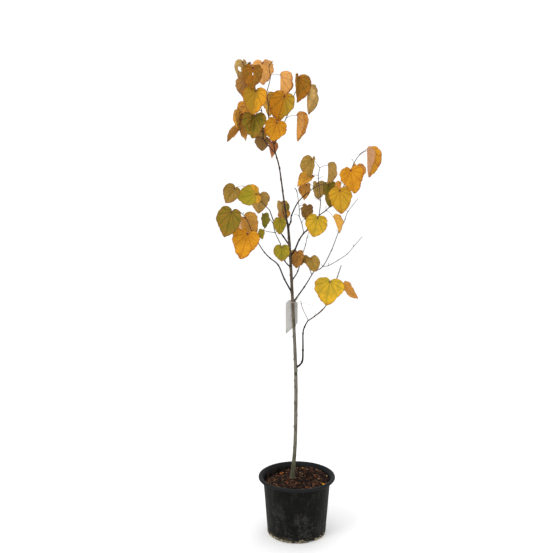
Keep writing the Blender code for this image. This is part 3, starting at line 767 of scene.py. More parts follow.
def cutHoles(piece, flat, holes):            # holes in the blade, as (across, down, radius) in units
    bpy.ops.object.mode_set(mode="EDIT")
    bpy.ops.mesh.select_mode(type="FACE")
    bpy.ops.mesh.select_all(action="DESELECT")
    bpy.ops.object.mode_set(mode="OBJECT")
    for face in piece.data.polygons:
        x, y = flat[list(face.vertices)].mean(axis=0)[:2]
        wobble = 1 + 0.6 * noise.noise(Vector((x * 9, y * 9, 0)))
        face.select = any(math.hypot(x - across, y - down) < size * wobble for across, down, size in holes)
    bpy.ops.object.mode_set(mode="EDIT")
    bpy.ops.mesh.delete(type="FACE")
    bpy.ops.object.mode_set(mode="OBJECT")


notchRing = 2 * leafForm["stalkSamples"]     # the ring of a stalk that meets its blade
leafSheet = buildLeafSheet()
sheetFlat = pointsOf(leafSheet.data)
sheetRim = np.zeros(len(sheetFlat), np.float32)
leafSheet.data.attributes["rim"].data.foreach_get("value", sheetRim)


def growLeaf(name, buds, leaf, dice, marks):
    place, heading, rise, width, face, tilt, lean, fold, tint = leaf
    width *= mm
    cup = dice.uniform(*leafForm["cup"])
    curl = dice.uniform(*leafForm["curl"])
    root = curveAt(buds, place)
    reach = headingVector(heading, rise) * leafForm["stalk"] * width * marks.get("stalk", 1)
    reach += Vector(marks.get("swing", (0, 0, 0))) * mm
    notch = root + reach
    turn = leafFrame(notch, face + marks.get("face", 0), tilt, lean + marks.get("lean", 0))
    unit = width / leafForm["units"]
    own = random.Random(name)                 # bends and shade that only this leaf has
    piece = copyOf(leafSheet, name)
    fold = math.radians(marks.get("fold", fold))
    shaped = shapeLeaf(sheetFlat, sheetRim, fold, cup, curl, own, marks) * unit
    setPoints(piece.data, [turn @ Vector(point) for point in shaped])
    shade = np.full(len(shaped), marks.get("shade", own.uniform(*leafForm["shade"])), np.float32)
    piece.data.attributes["shade"].data.foreach_set("value", shade)
    dress(piece, *leafMaterials[tint])
    if "holes" in marks:
        activate(piece)
        cutHoles(piece, sheetFlat, marks["holes"])
    rib = turn.to_3x3() @ Vector((0, 1, 0))
    back = turn.to_3x3() @ Vector((0, 0, -1))
    run, sunk = leafForm["stalkRun"]
    middle = root + reach * 0.5 + Vector((0, 0, leafForm["stalkArch"] * reach.length))
    bend = [root, middle, notch + back * leafForm["stalkSeat"], notch + rib * run * width + back * sunk]
    path = smoothPath(bend, leafForm["stalkSamples"])
    slim, foot, top = leafForm["stalkRadii"]
    radii = [slim + foot * math.exp(-i / 2.5) + top * math.exp(-abs(i - notchRing) / 2.2)
             for i in range(len(path))]
    radii[-1] = 0.25
    return piece, (path, radii)


def thickenLeaves(piece, thickness):         # the back gets the material after the front's
    solid = piece.modifiers.new("thickness", "SOLIDIFY")
    solid.thickness = thickness
    solid.offset = 0.0
    solid.material_offset = 1
    solid.material_offset_rim = 0
    applyModifiers(piece)


# Masses. A leaf is (place, heading and rise of its stalk, blade width in mm, heading its face
# looks to, upward tilt, clockwise lean of the tip, fold along the midrib, tint).

masses = {
    "foliage_low_right": {
        "parent": "bough_low_right", "place": None, "heading": 325, "foot": 2.0, "tip": 1.3,
        "runs": ((40, 35), (45, 40), (40, 50), (65, 65), (55, 70), (50, 70)),
        "leaves": ((4.5, 240, 15, 112, 272, 10, 10, 8, "yellowGreen"),
                   (4.5, 350, -18, 90, 320, 15, -38, 14, "orangeTan")),
        "twigs": ((0.1, 150, ((55, 60), (30, 75)), ()),)},
    "foliage_left": {
        "parent": "bough_left", "place": None, "heading": 205, "foot": 1.5, "tip": 0.9,
        "runs": ((50, 60), (55, 65), (30, 55), (30, 40)),
        "leaves": ((0.75, 240, 15, 112, 265, 10, 16, 8, "brightOrange"),
                   (2.5, 90, 10, 86, 80, 12, 35, 12, "goldenYellow"),
                   (3.75, 230, 5, 107, 250, 8, 14, 10, "darkOlive"),
                   (2.5, 170, -30, 60, 110, 15, -10, 15, "washedPink"))},
    "foliage_inner_right": {
        "parent": "bough_bare_right", "place": 1.8, "heading": 200, "foot": 1.3, "tip": 0.9,
        "runs": ((40, 65), (35, 45), (25, 40)),
        "leaves": ((2.25, 180, 50, 66, 250, 12, 0, 12, "tanBrown"),
                   (1.75, 20, 20, 78, 285, 35, -12, 10, "oliveTan"),
                   (2.0, 60, 60, 50, 275, 15, 30, 12, "oliveTan"))},
    "twigs_bare_right": {
        "parent": "bough_bare_right", "place": None, "heading": 25, "foot": 1.6, "tip": 0.8,
        "runs": ((45, 25), (80, 50, 45), (85, 60), (50, 50), (50, 60), (80, 40)),
        "twigs": ((1, 0, ((25, 10), (45, 30), (45, 35), (40, 50), (50, 50)), ()),)},
    "twigs_back": {
        "parent": "bough_back", "place": None, "heading": 72, "foot": 1.5, "tip": 0.8,
        "runs": ((60, 40), (30, 55), (30, 45))},
    "foliage_right_outer": {
        "parent": "bough_right", "place": None, "heading": 335, "foot": 1.7, "tip": 0.9,
        "runs": ((30, 35), (35, 45), (40, 50), (40, 60), (55, 65), (50, 65), (40, 55), (30, 35)),
        "leaves": ((0.25, 240, -25, 87, 272, 10, 12, 8, "yellowGreen"),
                   (1.0, 340, -40, 86, 0, 22, 0, 58, "goldenYellow"),
                   (3.25, 270, 25, 98, 270, 8, -4, 8, "olderGold"),
                   (4.25, 160, 25, 44, 215, 5, 0, 25, "orangeTan"),
                   (5.25, 270, 10, 98, 280, 10, -8, 10, "brightOrange"),
                   (5.75, 20, 15, 66, 50, 10, 0, 20, "orangeTan"),
                   (6.75, 320, 25, 112, 355, 5, 0, 60, "pinkGold"))},
    "foliage_right_tall": {
        "parent": "bough_right", "place": 6.5, "heading": 60, "foot": 1.4, "tip": 0.9,
        "runs": ((60, 80), (95, 60, 100), (45, 75, 60)),
        "leaves": ((3.0, 190, 40, 92, 220, 8, 5, 22, "oliveTan"),
                   (2.25, 170, 5, 80, 262, 38, 42, 32, "goldenYellow"),
                   (3.0, 10, 15, 85, 358, 4, 0, 60, "oliveTan"))},
    "foliage_right_middle": {
        "parent": "bough_right", "place": 3, "heading": 250, "foot": 1.4, "tip": 0.8,
        "runs": ((50, 60), (40, 45), (25, 90, 320), (75, 70, 250), (30, 35)),
        "leaves": ((3.25, 20, 5, 62, 285, 8, 10, 15, "darkBrown"),)},
    "foliage_upper_right": {
        "parent": "bough_upper_right", "place": None, "heading": 45, "foot": 1.5, "tip": 0.9,
        "runs": ((55, 25), (30, 15), (30, 15)),
        "leaves": ((0.5, 150, 45, 68, 240, 10, 5, 20, "tanBrown"),
                   (2.0, 100, 10, 72, 300, 8, 0, 28, "paleTan"),
                   (2.5, 320, 0, 92, 312, 8, -5, 15, "deepOlive"))},
    "foliage_upper_left": {
        "parent": "bough_upper_left", "place": None, "heading": 150, "foot": 1.5, "tip": 0.9,
        "runs": ((50, 40), (35, 50), (35, 50), (45, 10)),
        "leaves": ((1.75, 260, 35, 86, 278, 18, 55, 10, "greenToGold"),
                   (1.5, 90, 25, 82, 85, 12, 10, 12, "oliveTan"),
                   (4.0, 190, 0, 76, 255, 8, 25, 15, "oliveTan"))},
    "foliage_front_left": {
        "parent": "bough_front_left", "place": None, "heading": 240, "foot": 1.5, "tip": 0.8,
        "runs": ((60, 50), (45, 65), (25, 35)),
        "leaves": ((0.25, 320, -60, 65, 275, 10, 0, 10, "greenOlive"),
                   (3.0, 200, 50, 60, 312, 5, 0, 25, "freshGreen")),
        "twigs": ((1, 200, ((35, 10),), ((1.0, 190, 30, 40, 225, 8, 0, 20, "greenOlive"),)),)},
    "foliage_trunk_top": {
        "parent": "trunk", "place": 1.300, "heading": 120, "foot": 1.4, "tip": 0.9,
        "runs": ((45, 50), (30, 75)),
        "leaves": ((0.5, 210, -10, 58, 258, 10, 5, 10, "greenOlive"),
                   (2.0, 30, 20, 34, 340, 8, 0, 30, "freshGreen"),
                   (2.0, 110, 35, 62, 60, 10, 0, 20, "oliveTan"),
                   (1.25, 40, 10, 34, 70, 5, 0, 15, "brightOrange"),
                   (1.0, 100, 15, 44, 95, 15, 0, 15, "tanBrown"))},
    "foliage_top_left": {
        "parent": "trunk", "place": 1.575, "heading": 215, "foot": 1.9, "tip": 0.9,
        "runs": ((75, 45), (35, 80), (80, 85), (70, 70), (65, 80), (40, 90)),
        "leaves": ((5.25, 270, 25, 92, 264, 12, 2, 10, "brownOrange"),
                   (4.0, 270, 10, 100, 270, 8, 8, 6, "goldSplit"),
                   (2.75, 230, 0, 98, 262, 12, 5, 8, "darkOlive"),
                   (6.0, 180, 15, 82, 148, 6, 8, 12, "paleTan"),
                   (6.0, 160, 30, 40, 200, 10, 0, 20, "darkBrown"),
                   (4.75, 180, 0, 82, 142, 8, 0, 15, "tanBrown"),
                   (2.0, 130, 15, 62, 80, 15, 0, 15, "oliveTan"),
                   (1.0, 110, 15, 62, 100, 15, 0, 10, "darkBrown")),
        "twigs": ((3, 190, ((45, 15), (35, 5)), (
            (1.0, 130, 25, 76, 80, 12, -5, 10, "brightOrange"),
            (1.75, 200, -30, 78, 192, 8, 0, 35, "goldenYellow"),
            (1.5, 230, -55, 104, 225, 12, 5, 35, "tanBrown"))),
            (2, 170, ((45, 15), (40, 20)), ((2.0, 190, -30, 66, 240, 20, 40, 40, "tanBrown"),)))},
    "foliage_top_centre": {
        "parent": "trunk", "place": None, "heading": 150, "foot": 2.0, "tip": 0.9,
        "runs": ((35, 75), (65, 80), (40, 90), (40, 80), (60, 75, 30), (50, 80, 120), (25, 50, 20)),
        "leaves": ((1.25, 320, 25, 95, 285, 22, 24, 8, "brightOrange"),
                   (3.5, 90, 25, 90, 45, 10, 0, 20, "olderGold"),
                   (5.25, 20, 0, 105, 3, 2, 0, 66, "peach"),
                   (6.25, 140, 10, 94, 92, 5, 4, 20, "peach"))},
    "foliage_top_right": {
        "parent": "trunk", "place": 1.610, "heading": 25, "foot": 1.8, "tip": 0.9,
        "runs": ((45, 60), (75, 65), (55, 65), (40, 75), (30, 60)),
        "leaves": ((3.5, 220, 15, 108, 250, 8, 16, 8, "orangeGreen"),
                   (4.75, 300, 60, 110, 312, 4, 6, 35, "brownOrange"),
                   (4.5, 10, 15, 116, 340, 1, 0, 60, "paleTan"),
                   (2.0, 20, 10, 112, 338, 1, 0, 60, "orangeTan"),
                   (0.25, 100, 0, 72, 45, 6, 0, 20, "rust"))},
}
leafMarks = {                    # what sets single leaves apart, by node, then by shoot and number
    "foliage_top_left": {
        "stem_0": {"wide": 0.86, "holes": [(-0.02, 0.36, 0.055)], "ragged": 0.04, "shade": 0.75},
        "stem_1": {"wide": 0.95, "shade": 0.1},
        "stem_2": {"ragged": 0.06, "shade": 0.0},
        "stem_3": {"holes": [(-0.30, 0.38, 0.12), (-0.22, 0.52, 0.09)], "shade": 0.0, "stalk": 1.3},
        "stem_7": {"long": 0.86, "shade": 0.5},
        "twig_0_0": {"shade": 0.0},
        "twig_0_1": {"swing": (13, 8, -3), "shade": 0.6},
        "twig_0_2": {"swing": (32, 26, -3), "ragged": 0.05, "shade": 0.0},
        "twig_1_0": {"swing": (6, 0, -3), "wide": 0.8, "long": 1.1, "shade": 0.5}},
    "foliage_top_centre": {
        "stem_0": {"ragged": 0.05, "wide": 0.96, "shade": 0.0},
        "stem_1": {"shade": 0.0},
        "stem_2": {"shade": 0.0},
        "stem_3": {"ragged": 0.07, "shade": 0.15}},
    "foliage_top_right": {
        "stem_0": {"long": 1.04, "shade": 0.0},
        "stem_1": {"swing": (-3, 0, 5), "wide": 0.93, "shade": 0.0},
        "stem_2": {"wide": 0.78, "shade": 0.0},
        "stem_3": {"wide": 0.86, "shade": 0.0},
        "stem_4": {"swing": (-10, 0, 2), "wide": 0.75}},
    "foliage_upper_left": {
        "stem_0": {"swing": (0, 0, -9), "lean": 22, "long": 1.12, "ragged": 0.06, "shade": 0.0},
        "stem_1": {"swing": (3, 0, -5), "lean": -16, "long": 1.08, "stalk": 1.25, "shade": 0.2},
        "stem_2": {"swing": (2, 0, -9), "lean": 6, "long": 1.08, "stalk": 1.2, "shade": 0.6}},
    "foliage_upper_right": {
        "stem_0": {"ragged": 0.05, "wide": 0.88, "long": 1.08, "shade": 0.0},
        "stem_1": {"swing": (-5, 0, 0), "wide": 1.12, "shade": 0.0},
        "stem_2": {"swing": (-5, 0, -3), "long": 1.1, "shade": 0.0}},
    "foliage_left": {
        "stem_0": {"ragged": 0.04, "shade": 0.0},
        "stem_1": {"swing": (-3, 0, -12), "shade": 0.6},
        "stem_2": {"swing": (3, 0, -6), "long": 1.08, "shade": 0.05},
        "stem_3": {"stalk": 1.6, "shade": 0.0}},
    "foliage_front_left": {
        "stem_0": {"shade": 0.0},
        "stem_1": {"swing": (-4, 0, -6), "wide": 0.78, "ragged": 0.06, "stalk": 1.2},
        "twig_0_0": {"swing": (-2, 0, -4), "shade": 0.35}},
    "foliage_trunk_top": {
        "stem_0": {"wide": 0.93, "long": 1.15},
        "stem_2": {"shade": 0.25}},
    "foliage_right_outer": {
        "stem_0": {"shade": 0.3},
        "stem_1": {"wide": 0.8, "long": 0.86, "stalk": 1.2, "shade": 0.0},
        "stem_2": {"wide": 0.93, "shade": 0.1},
        "stem_3": {"shade": 0.2},
        "stem_4": {"ragged": 0.05, "shade": 0.08},
        "stem_5": {"swing": (-8, 0, -9), "ragged": 0.07, "shade": 0.35},
        "stem_6": {"swing": (0, 14, 0), "face": -28, "shade": 0.0}},
    "foliage_right_tall": {
        "stem_0": {"swing": (-2, 0, 9)},
        "stem_1": {"swing": (0, 0, -6), "wide": 0.82, "shade": 0.25}},
    "foliage_right_middle": {
        "stem_0": {"swing": (8, 0, -4), "wide": 0.85, "ragged": 0.09, "shade": 0.08}},
    "foliage_inner_right": {
        "stem_0": {"swing": (2, 0, 7), "wide": 1.04, "long": 1.08, "ragged": 0.05, "shade": 0.0},
        "stem_1": {"wide": 0.8, "long": 0.88, "ragged": 0.05, "shade": 0.1},
        "stem_2": {"ragged": 0.05, "shade": 0.25}},
    "foliage_low_right": {
        "stem_0": {"wide": 1.07, "long": 0.91, "ragged": 0.04, "shade": 0.0},
        "stem_1": {"lean": -10, "fold": 20, "wide": 0.62, "long": 1.08, "ragged": 0.05, "shade": 0.1}},
}


def growShoot(buds, foot, tip, dice, strands):        # a shoot, its spurs and its buds
    samples = wood["samples"]
    path = smoothPath(buds, samples)
    radii = taper(path, foot, tip, samples)
    radii[-1] *= wood["tipShrink"]
    strands.append((path, radii))
    extra = random.Random(str(buds[0]))
    short, long = wood["spurLength"]
    least, more = wood["spurRise"]
    for i in range(1, len(buds) - 1):
        chance, turn, lift, size = (dice.random() for _ in range(4))
        if chance > wood["spurChance"]:
            continue
        way = curveAt(buds, i + 0.5) - buds[i]
        side = 90 if i % 2 else -90
        heading = math.degrees(math.atan2(way.y, way.x)) + side + wood["spurStray"] * (turn - 0.5)
        out = headingVector(heading, least + more * lift)
        reach = short + (long - short) * size
        bend = Vector((0, 0, 0.08 * reach))
        spur = smoothPath([buds[i], buds[i] + out * reach * 0.5 + bend, buds[i] + out * reach], 4)
        strands.append((spur, drawnOut(*wood["spurRadii"], len(spur))))
        strands.append(budStrand(spur[-1] - out * 0.8 * mm, (out + Vector((0, 0, 0.3))).normalized()))
    strands.extend(budStrands(buds, path, radii, samples, extra))
    end = (path[-1] - path[-2]).normalized()
    strands.append(budStrand(path[-1] - end * mm, end))


bareStalks = {                   # place on the stem, heading, length and rise
    "foliage_low_right": ((1.0, 345, 57, 39),),
    "foliage_right_tall": ((1.0, 150, 30, 20),),
    "foliage_left": ((1.0, 20, 26, 35),),
    "twigs_bare_right": ((2.0, 300, 14, 40),),
}


def growMass(node, mass):
    words = "".join(word.title() for word in node.split("_")[1:])
    dice = random.Random(seed + sum(map(ord, node)))
    buds = skeleton[node]
    shoots = [("stem", buds, mass["foot"], mass["tip"], mass.get("leaves", ()))]
    for i, (place, heading, runs, leaves) in enumerate(mass.get("twigs", ())):
        twigBuds = budChain(curveAt(buds, place), heading, runs)
        shoots.append(("twig_%d" % i, twigBuds, *wood["twigRadii"], leaves))
    strands, stalks, blades, scars = [], [], [], []
    for shoot, shootBuds, foot, tip, leaves in shoots:
        growShoot(shootBuds, foot, tip, dice, strands)
        scars.extend(shootBuds)
        for i, leaf in enumerate(leaves):
            number = "%s_%d" % (shoot, i)
            marks = leafMarks.get(node, {}).get(number, {})
            blade, stalk = growLeaf(node + "_" + number, shootBuds, leaf, dice, marks)
            blades.append(blade)
            stalks.append(stalk)
            scars.extend((stalk[0][0], stalk[0][notchRing]))
    for place, way, length, rise in bareStalks.get(node, ()):     # stalks whose leaves have dropped
        root = curveAt(buds, place)
        far = headingVector(way, rise) * length * mm
        middle = root + far * 0.4 - Vector((0, 0, 0.05 * length * mm))
        path = smoothPath([root, middle, root + far], leafForm["stalkSamples"])
        stalks.append((path, drawnOut(*leafForm["bareRadii"], len(path))))
    twigs = strandMesh("twigs" + words, strands, 2, barks["twigBark"])
    if stalks:
        stalkPiece = strandMesh("stalks" + words, stalks, 1, barks["stalkSkin"])
        twigs = joinAll([twigs, stalkPiece], "twigs" + words)
    markScars(twigs, scars, wood["twigScar"])
    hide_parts(node)
    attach(twigs, "root")
    if blades:
        leaves = joinAll(blades, "leaves" + words)
        thickenLeaves(leaves, leafForm["thickness"])
        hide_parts(node)
        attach(leaves, "root")
    return len(blades)


for node, mass in masses.items():
    skeleton[node] = budChain(startOf(mass), mass["heading"], mass["runs"])
leafCount = sum(growMass(node, mass) for node, mass in masses.items())
print(len(masses), "masses grown with", leafCount, "leaves")


# Pot

pot = {
    "steps": 128,
    "outer": (                   # radius and height in mm, from the foot up and over the lip
        (116.5, 0), (119.6, 0.7), (121.4, 2.4), (122.1, 5.0), (122.9, 12.5), (125.2, 42), (128.3, 82),
        (131.4, 122), (134.4, 162), (137.4, 200), (139.4, 227), (139.9, 230.6), (141.4, 233.0),
        (145.0, 234.2), (154.0, 234.4), (157.6, 235.4), (159.6, 238.0), (160.0, 241.4), (158.9, 244.6),
        (156.2, 246.6), (152.4, 247.0), (148.6, 246.6), (146.0, 245.0), (144.4, 242.0)),
    "inner": ((141.6, 238.6), (138.3, 233.0), (136.6, 215), (131.2, 145), (126.0, 78), (121.6, 20),
              (120.2, 7.0), (118.6, 4.6), (112, 4.0)),
    "notches": 4,
    "notchHeading": 299,
    "notchPlace": 122 * mm,
    "notchSize": (28 * mm, 30 * mm, 30 * mm),
    "notchRound": 7.5 * mm,
    "dent": 0.55 * mm,           # the wall's slight dents, and the heights they lie between
    "dentSize": 85 * mm,
    "dentBand": (20 * mm, 225 * mm),
}


def plasticMaterial():
    maker = Maker("blackPlastic")
    spot = maker.place()
    height = maker.axis(spot, "Z")
    x, y = maker.axis(spot, "X"), maker.axis(spot, "Y")
    outward = maker.math("SQRT", x * x + y * y)
    cloud = maker.noise(spot, 14, 5, 0.62)
    smear = maker.noise(maker.place((1, 1, 0.4)), 46, 5, 0.65)
    swirl = maker.noise(spot, 34, 5, 0.65, 1.2)
    grit = maker.noise(spot, 640, 3, 0.7)
    scratch = maker.noise(maker.place((1, 1, 0.05), (0.25, 0.1, 0)), 300, 2)
    wall = 1 - maker.ramp(height, 0.231, 0.236)
    low = 1 - maker.ramp(height, 0.07, 0.19)
    dust = maker.ramp(cloud + (smear - 0.5) * 0.9, 0.44, 0.80) * (wall * 0.7 + 0.3)
    # the lip above the wall is a lighter bluish grey: painted sheen on its top, over the same black plastic
    colour = maker.mix(wall, paint(27, 28, 29), paint(13, 13, 12))
    colour = maker.mix(dust * 0.4, colour, paint(56, 55, 50))
    stain = (1 - maker.ramp(maker.math("ABSOLUTE", swirl - 0.5), 0.004, 0.030)) * wall
    stained = stain * (low * 0.24 + 0.05) * maker.ramp(smear, 0.42, 0.62)
    colour = maker.mix(stained, colour, paint(104, 104, 98))
    colour = maker.mix(maker.ramp(scratch, 0.67, 0.74) * wall * 0.25, colour, paint(110, 108, 102))
    splash = maker.ramp(maker.noise(spot, 105, 4, 0.7), 0.60, 0.70) * low * wall
    colour = maker.mix(splash * 0.42, colour, paint(92, 90, 82))
    film = 1 - maker.ramp(height + (smear - 0.5) * 0.03 + (cloud - 0.5) * 0.05, 0.003, 0.022)
    film = film * maker.ramp(grit, 0.3, 0.6)
    colour = maker.mix(film * 0.45, colour, paint(96, 88, 72))
    innerWall = (height - 0.215) * 0.094 + 0.1366
    inside = (1 - maker.ramp(outward - innerWall, 0.0003, 0.0012)) * maker.ramp(height, 0.19, 0.2)
    soil = inside * maker.ramp(smear + (cloud - 0.5) * 0.6, 0.48, 0.68)
    colour = maker.mix(soil * 0.5, colour, paint(52, 36, 28))
    specks = 1 - maker.ramp(maker.cells(spot, 75), 0.02, 0.055)
    colour = maker.mix(specks * 0.5, colour, paint(150, 142, 124))
    roughness = 0.5 + dust * 0.25 + film * 0.2 + grit * 0.08
    relief = grit * 0.25 + scratch * 0.15 + film * 1.2 + stain * 0.1
    return maker.finish(colour, roughness, relief, 0.35 * mm, 0.06)


def extrudeRing(radius, height, fromRadius, fromHeight):
    lift = (height - fromHeight) * mm
    bpy.ops.mesh.extrude_edges_move(TRANSFORM_OT_translate={"value": (0, 0, lift)})
    share = radius / fromRadius
    bpy.ops.transform.resize(value=(share, share, 1), center_override=(0, 0, height * mm))


def buildPot():
    deselectAll()
    profile = pot["outer"] + pot["inner"]
    radius, height = profile[0]
    bpy.ops.mesh.primitive_circle_add(vertices=pot["steps"], radius=radius * mm, location=(0, 0, 0))
    piece = nameAdded("nurseryPot")
    bpy.ops.object.mode_set(mode="EDIT")
    bpy.ops.mesh.select_mode(type="EDGE")
    bpy.ops.mesh.select_all(action="SELECT")
    for nextRadius, nextHeight in profile[1:]:
        extrudeRing(nextRadius, nextHeight, radius, height)
        radius, height = nextRadius, nextHeight
    bpy.ops.mesh.fill()                                  # closes the floor inside
    bpy.ops.mesh.select_all(action="DESELECT")
    bpy.ops.object.mode_set(mode="OBJECT")
    for edge in piece.data.edges:
        edge.select = all(piece.data.vertices[i].co.z < 0.1 * mm for i in edge.vertices)
    bpy.ops.object.mode_set(mode="EDIT")
    bpy.ops.mesh.fill()                                  # and the underside
    bpy.ops.object.mode_set(mode="OBJECT")
    faceOutwards(piece)
    for i in range(pot["notches"]):
        cutNotch(piece, pot["notchHeading"] + i * 360 / pot["notches"])
    low, high = pot["dentBand"]
    moved = []
    for vert in piece.data.vertices:
        point = vert.co.copy()
        if low < point.z < high:
            outward = Vector((point.x, point.y, 0)).normalized()
            point += outward * pot["dent"] * noise.noise(point / pot["dentSize"])
        moved.append(point)
    setPoints(piece.data, moved)
    activate(piece)
    smoothUnder(40)
    dress(piece, plasticMaterial())
    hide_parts("pot")
    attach(piece, "root")


def cutNotch(piece, heading):
    spot = headingVector(heading, 0) * pot["notchPlace"]
    deselectAll()
    bpy.ops.mesh.primitive_cube_add(size=1, location=spot, rotation=(0, 0, math.radians(heading)))
    notch = nameAdded("notch")
    notch.dimensions = pot["notchSize"]
    settlePlace(notch)
    bevel = notch.modifiers.new("round", "BEVEL")
    bevel.width = pot["notchRound"]
    bevel.segments = 5
    applyModifiers(notch)
    cut = piece.modifiers.new("notch", "BOOLEAN")
    cut.operation = "DIFFERENCE"
    cut.solver = "MANIFOLD"
    cut.object = notch
    applyModifiers(piece)
    removePiece(notch)


buildPot()
print("pot built")


# Potting mix: a bumpy bed with loose bark chips on it

mixBed = {
    "rise": 9 * mm,              # how much higher the mix lies at its edge, towards a heading
    "riseHeading": 55,
    "riseReach": 140 * mm,
    "mounds": (                  # place, reach and height: drawn up at the far wall, sunk at the left
        (66 * mm, 92 * mm, 62 * mm, 9 * mm), (-88 * mm, 72 * mm, 66 * mm, -12 * mm),
    ),
    "bump": 3 * mm,
    "bumpSize": 28 * mm,
    "seat": 27 * mm,             # the mix is level this near to the trunk
    "edge": 134.4 * mm,
    "sink": 2.5 * mm,            # the bed lies this far under the chips
    "cells": 110,
    "grains": ((1.6 * mm, 5 * mm), (0.96 * mm, 2.2 * mm)),       # height and size of its crumbs
    "floor": 6 * mm,
    "floorShare": 0.87,
    "chips": 2700,
    "chipLength": (4.5 * mm, 19 * mm),
    "chipLift": (-1.5, 2.2),     # mm
    "chipTilt": 0.35,
    "clearing": 13 * mm,         # no chip has its middle this near to the trunk's
}


def fromTrunk(x, y):
    return math.hypot(x - trunk["foot"].x, y - trunk["foot"].y)


def mixHeight(x, y):
    spot = Vector((x, y, 0))
    share = min(1.0, max(0.0, fromTrunk(x, y) - mixBed["seat"]) / mixBed["seat"])
    lift = mixBed["rise"] * spot.dot(headingVector(mixBed["riseHeading"], 0)) / mixBed["riseReach"]
    lift += mixBed["bump"] * noise.noise(spot / mixBed["bumpSize"])
    for atX, atY, reach, size in mixBed["mounds"]:
        lift += size * math.exp(-(math.hypot(x - atX, y - atY) / reach) ** 2)
    return mixLevel + share * lift


def mixMaterial(name, main, second, bright):
    maker = Maker(name)
    spot = maker.place()
    cloud = maker.noise(spot, 70, 4)
    grain = maker.noise(maker.place((1, 0.35, 0.6)), 520, 5, 0.7)
    colour = maker.mix(maker.ramp(cloud, 0.38, 0.64), paint(*main), paint(*second))
    colour = maker.mix(maker.ramp(grain, 0.52, 0.74) * 0.6, colour, paint(*bright))
    return maker.finish(colour, 0.78 + 0.15 * grain, grain * 0.8 + cloud * 0.3, 0.6 * mm, 0.12)


chipTints = (                    # share of the chips, then three colours
    (0.38, (60, 38, 28), (43, 27, 20), (90, 60, 44)),
    (0.46, (31, 21, 17), (22, 15, 12), (50, 35, 27)),
    (0.11, (106, 76, 54), (82, 57, 41), (144, 110, 82)),
    (0.025, (168, 138, 100), (140, 110, 78), (196, 168, 130)),
    (0.025, (124, 66, 34), (100, 50, 28), (156, 92, 50)),
)


def chipForm(dice):
    deselectAll()
    bpy.ops.mesh.primitive_cube_add(size=1, location=(0, 0, 0))
    form = nameAdded("chipForm")
    bevel = form.modifiers.new("round", "BEVEL")
    bevel.width = 0.16
    applyModifiers(form)
    points = pointsOf(form.data)
    points += np.array([[dice.uniform(-0.09, 0.09) for _ in range(3)] for _ in points])
    points[:, 1] *= 1 - 0.5 * np.abs(points[:, 0])       # chips narrow towards their ends
    faces = [list(face.vertices) for face in form.data.polygons]
    removePiece(form)
    return points, faces


def scatterPiece(name, forms, spots, materials):       # one joined mesh from (form, matrix, material number)
    allPoints, allFaces, numbers = [], [], []
    total = 0
    for which, place, number in spots:
        points, faces = forms[which]
        solid = np.array(place)
        allPoints.append(points @ solid[:3, :3].T + solid[:3, 3])
        allFaces.extend([corner + total for corner in face] for face in faces)
        numbers.extend([number] * len(faces))
        total += len(points)
    mesh = bpy.data.meshes.new(name)
    mesh.from_pydata(np.concatenate(allPoints).tolist(), [], allFaces)
    piece = bpy.data.objects.new(name, mesh)
    bpy.context.scene.collection.objects.link(piece)
    dress(piece, *materials)
    mesh.polygons.foreach_set("material_index", numbers)
    mesh.update()
    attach(piece, "root")
    return piece


def chipPlace(spot, turn, lean, roll, size):
    return (Matrix.Translation(spot) @ Matrix.Rotation(turn, 4, "Z") @ Matrix.Rotation(lean, 4, "Y")
            @ Matrix.Rotation(roll, 4, "X") @ Matrix.Diagonal((*size, 1)))


def buildMix():
    deselectAll()
    bpy.ops.mesh.primitive_grid_add(x_subdivisions=mixBed["cells"], y_subdivisions=mixBed["cells"], size=2)
    piece = nameAdded("pottingMixBed")
    moved = []
    for vert in piece.data.vertices:
        x, y = vert.co.x, vert.co.y                       # the square grid is drawn round into a disc
        spot = Vector((x * math.sqrt(1 - y * y / 2), y * math.sqrt(1 - x * x / 2), 0)) * mixBed["edge"]
        spot.z = mixHeight(spot.x, spot.y) - mixBed["sink"]
        spot.z += sum(size * noise.noise(spot / grain) for size, grain in mixBed["grains"])
        moved.append(spot)
    setPoints(piece.data, moved)
    bpy.ops.object.mode_set(mode="EDIT")
    bpy.ops.mesh.select_all(action="SELECT")
    bpy.ops.mesh.region_to_loop()
    drop = mixBed["floor"] - mixLevel
    bpy.ops.mesh.extrude_edges_move(TRANSFORM_OT_translate={"value": (0, 0, drop)})
    share = mixBed["floorShare"]
    bpy.ops.transform.resize(value=(share, share, 0), center_override=(0, 0, mixBed["floor"]))
    bpy.ops.mesh.fill()
    bpy.ops.object.mode_set(mode="OBJECT")
    faceOutwards(piece)
    smoothUnder(50)
    dress(piece, mixMaterial("dampMix", (31, 21, 17), (22, 15, 13), (52, 36, 28)))
    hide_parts("potting_mix")
    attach(piece, "root")


def buildChips():
    dice = random.Random(seed)
    forms = [chipForm(dice) for _ in range(5)]
    materials = [mixMaterial("barkChip%d" % i, *tint[1:]) for i, tint in enumerate(chipTints)]
    shares = [tint[0] for tint in chipTints]
    spots = []
    short, long = mixBed["chipLength"]
    tilt = mixBed["chipTilt"]
    while len(spots) < mixBed["chips"]:
        away = mixBed["edge"] * math.sqrt(dice.random())
        turn = dice.uniform(0, 2 * math.pi)
        x, y = away * math.cos(turn), away * math.sin(turn)
        length = short + (long - short) * dice.random() ** 2.2
        if fromTrunk(x, y) < mixBed["clearing"] or away > mixBed["edge"] - length * 0.5:
            continue
        size = (length, length * dice.uniform(0.3, 0.6), length * dice.uniform(0.16, 0.34))
        spot = Vector((x, y, mixHeight(x, y) + dice.uniform(*mixBed["chipLift"]) * mm))
        turn, lean, roll = dice.uniform(0, 6.3), dice.gauss(0, tilt), dice.gauss(0, tilt)
        place = chipPlace(spot, turn, lean, roll, size)
        spots.append((dice.randrange(len(forms)), place, dice.choices(range(len(shares)), shares)[0]))
    piece = scatterPiece("barkChips", forms, spots, materials)


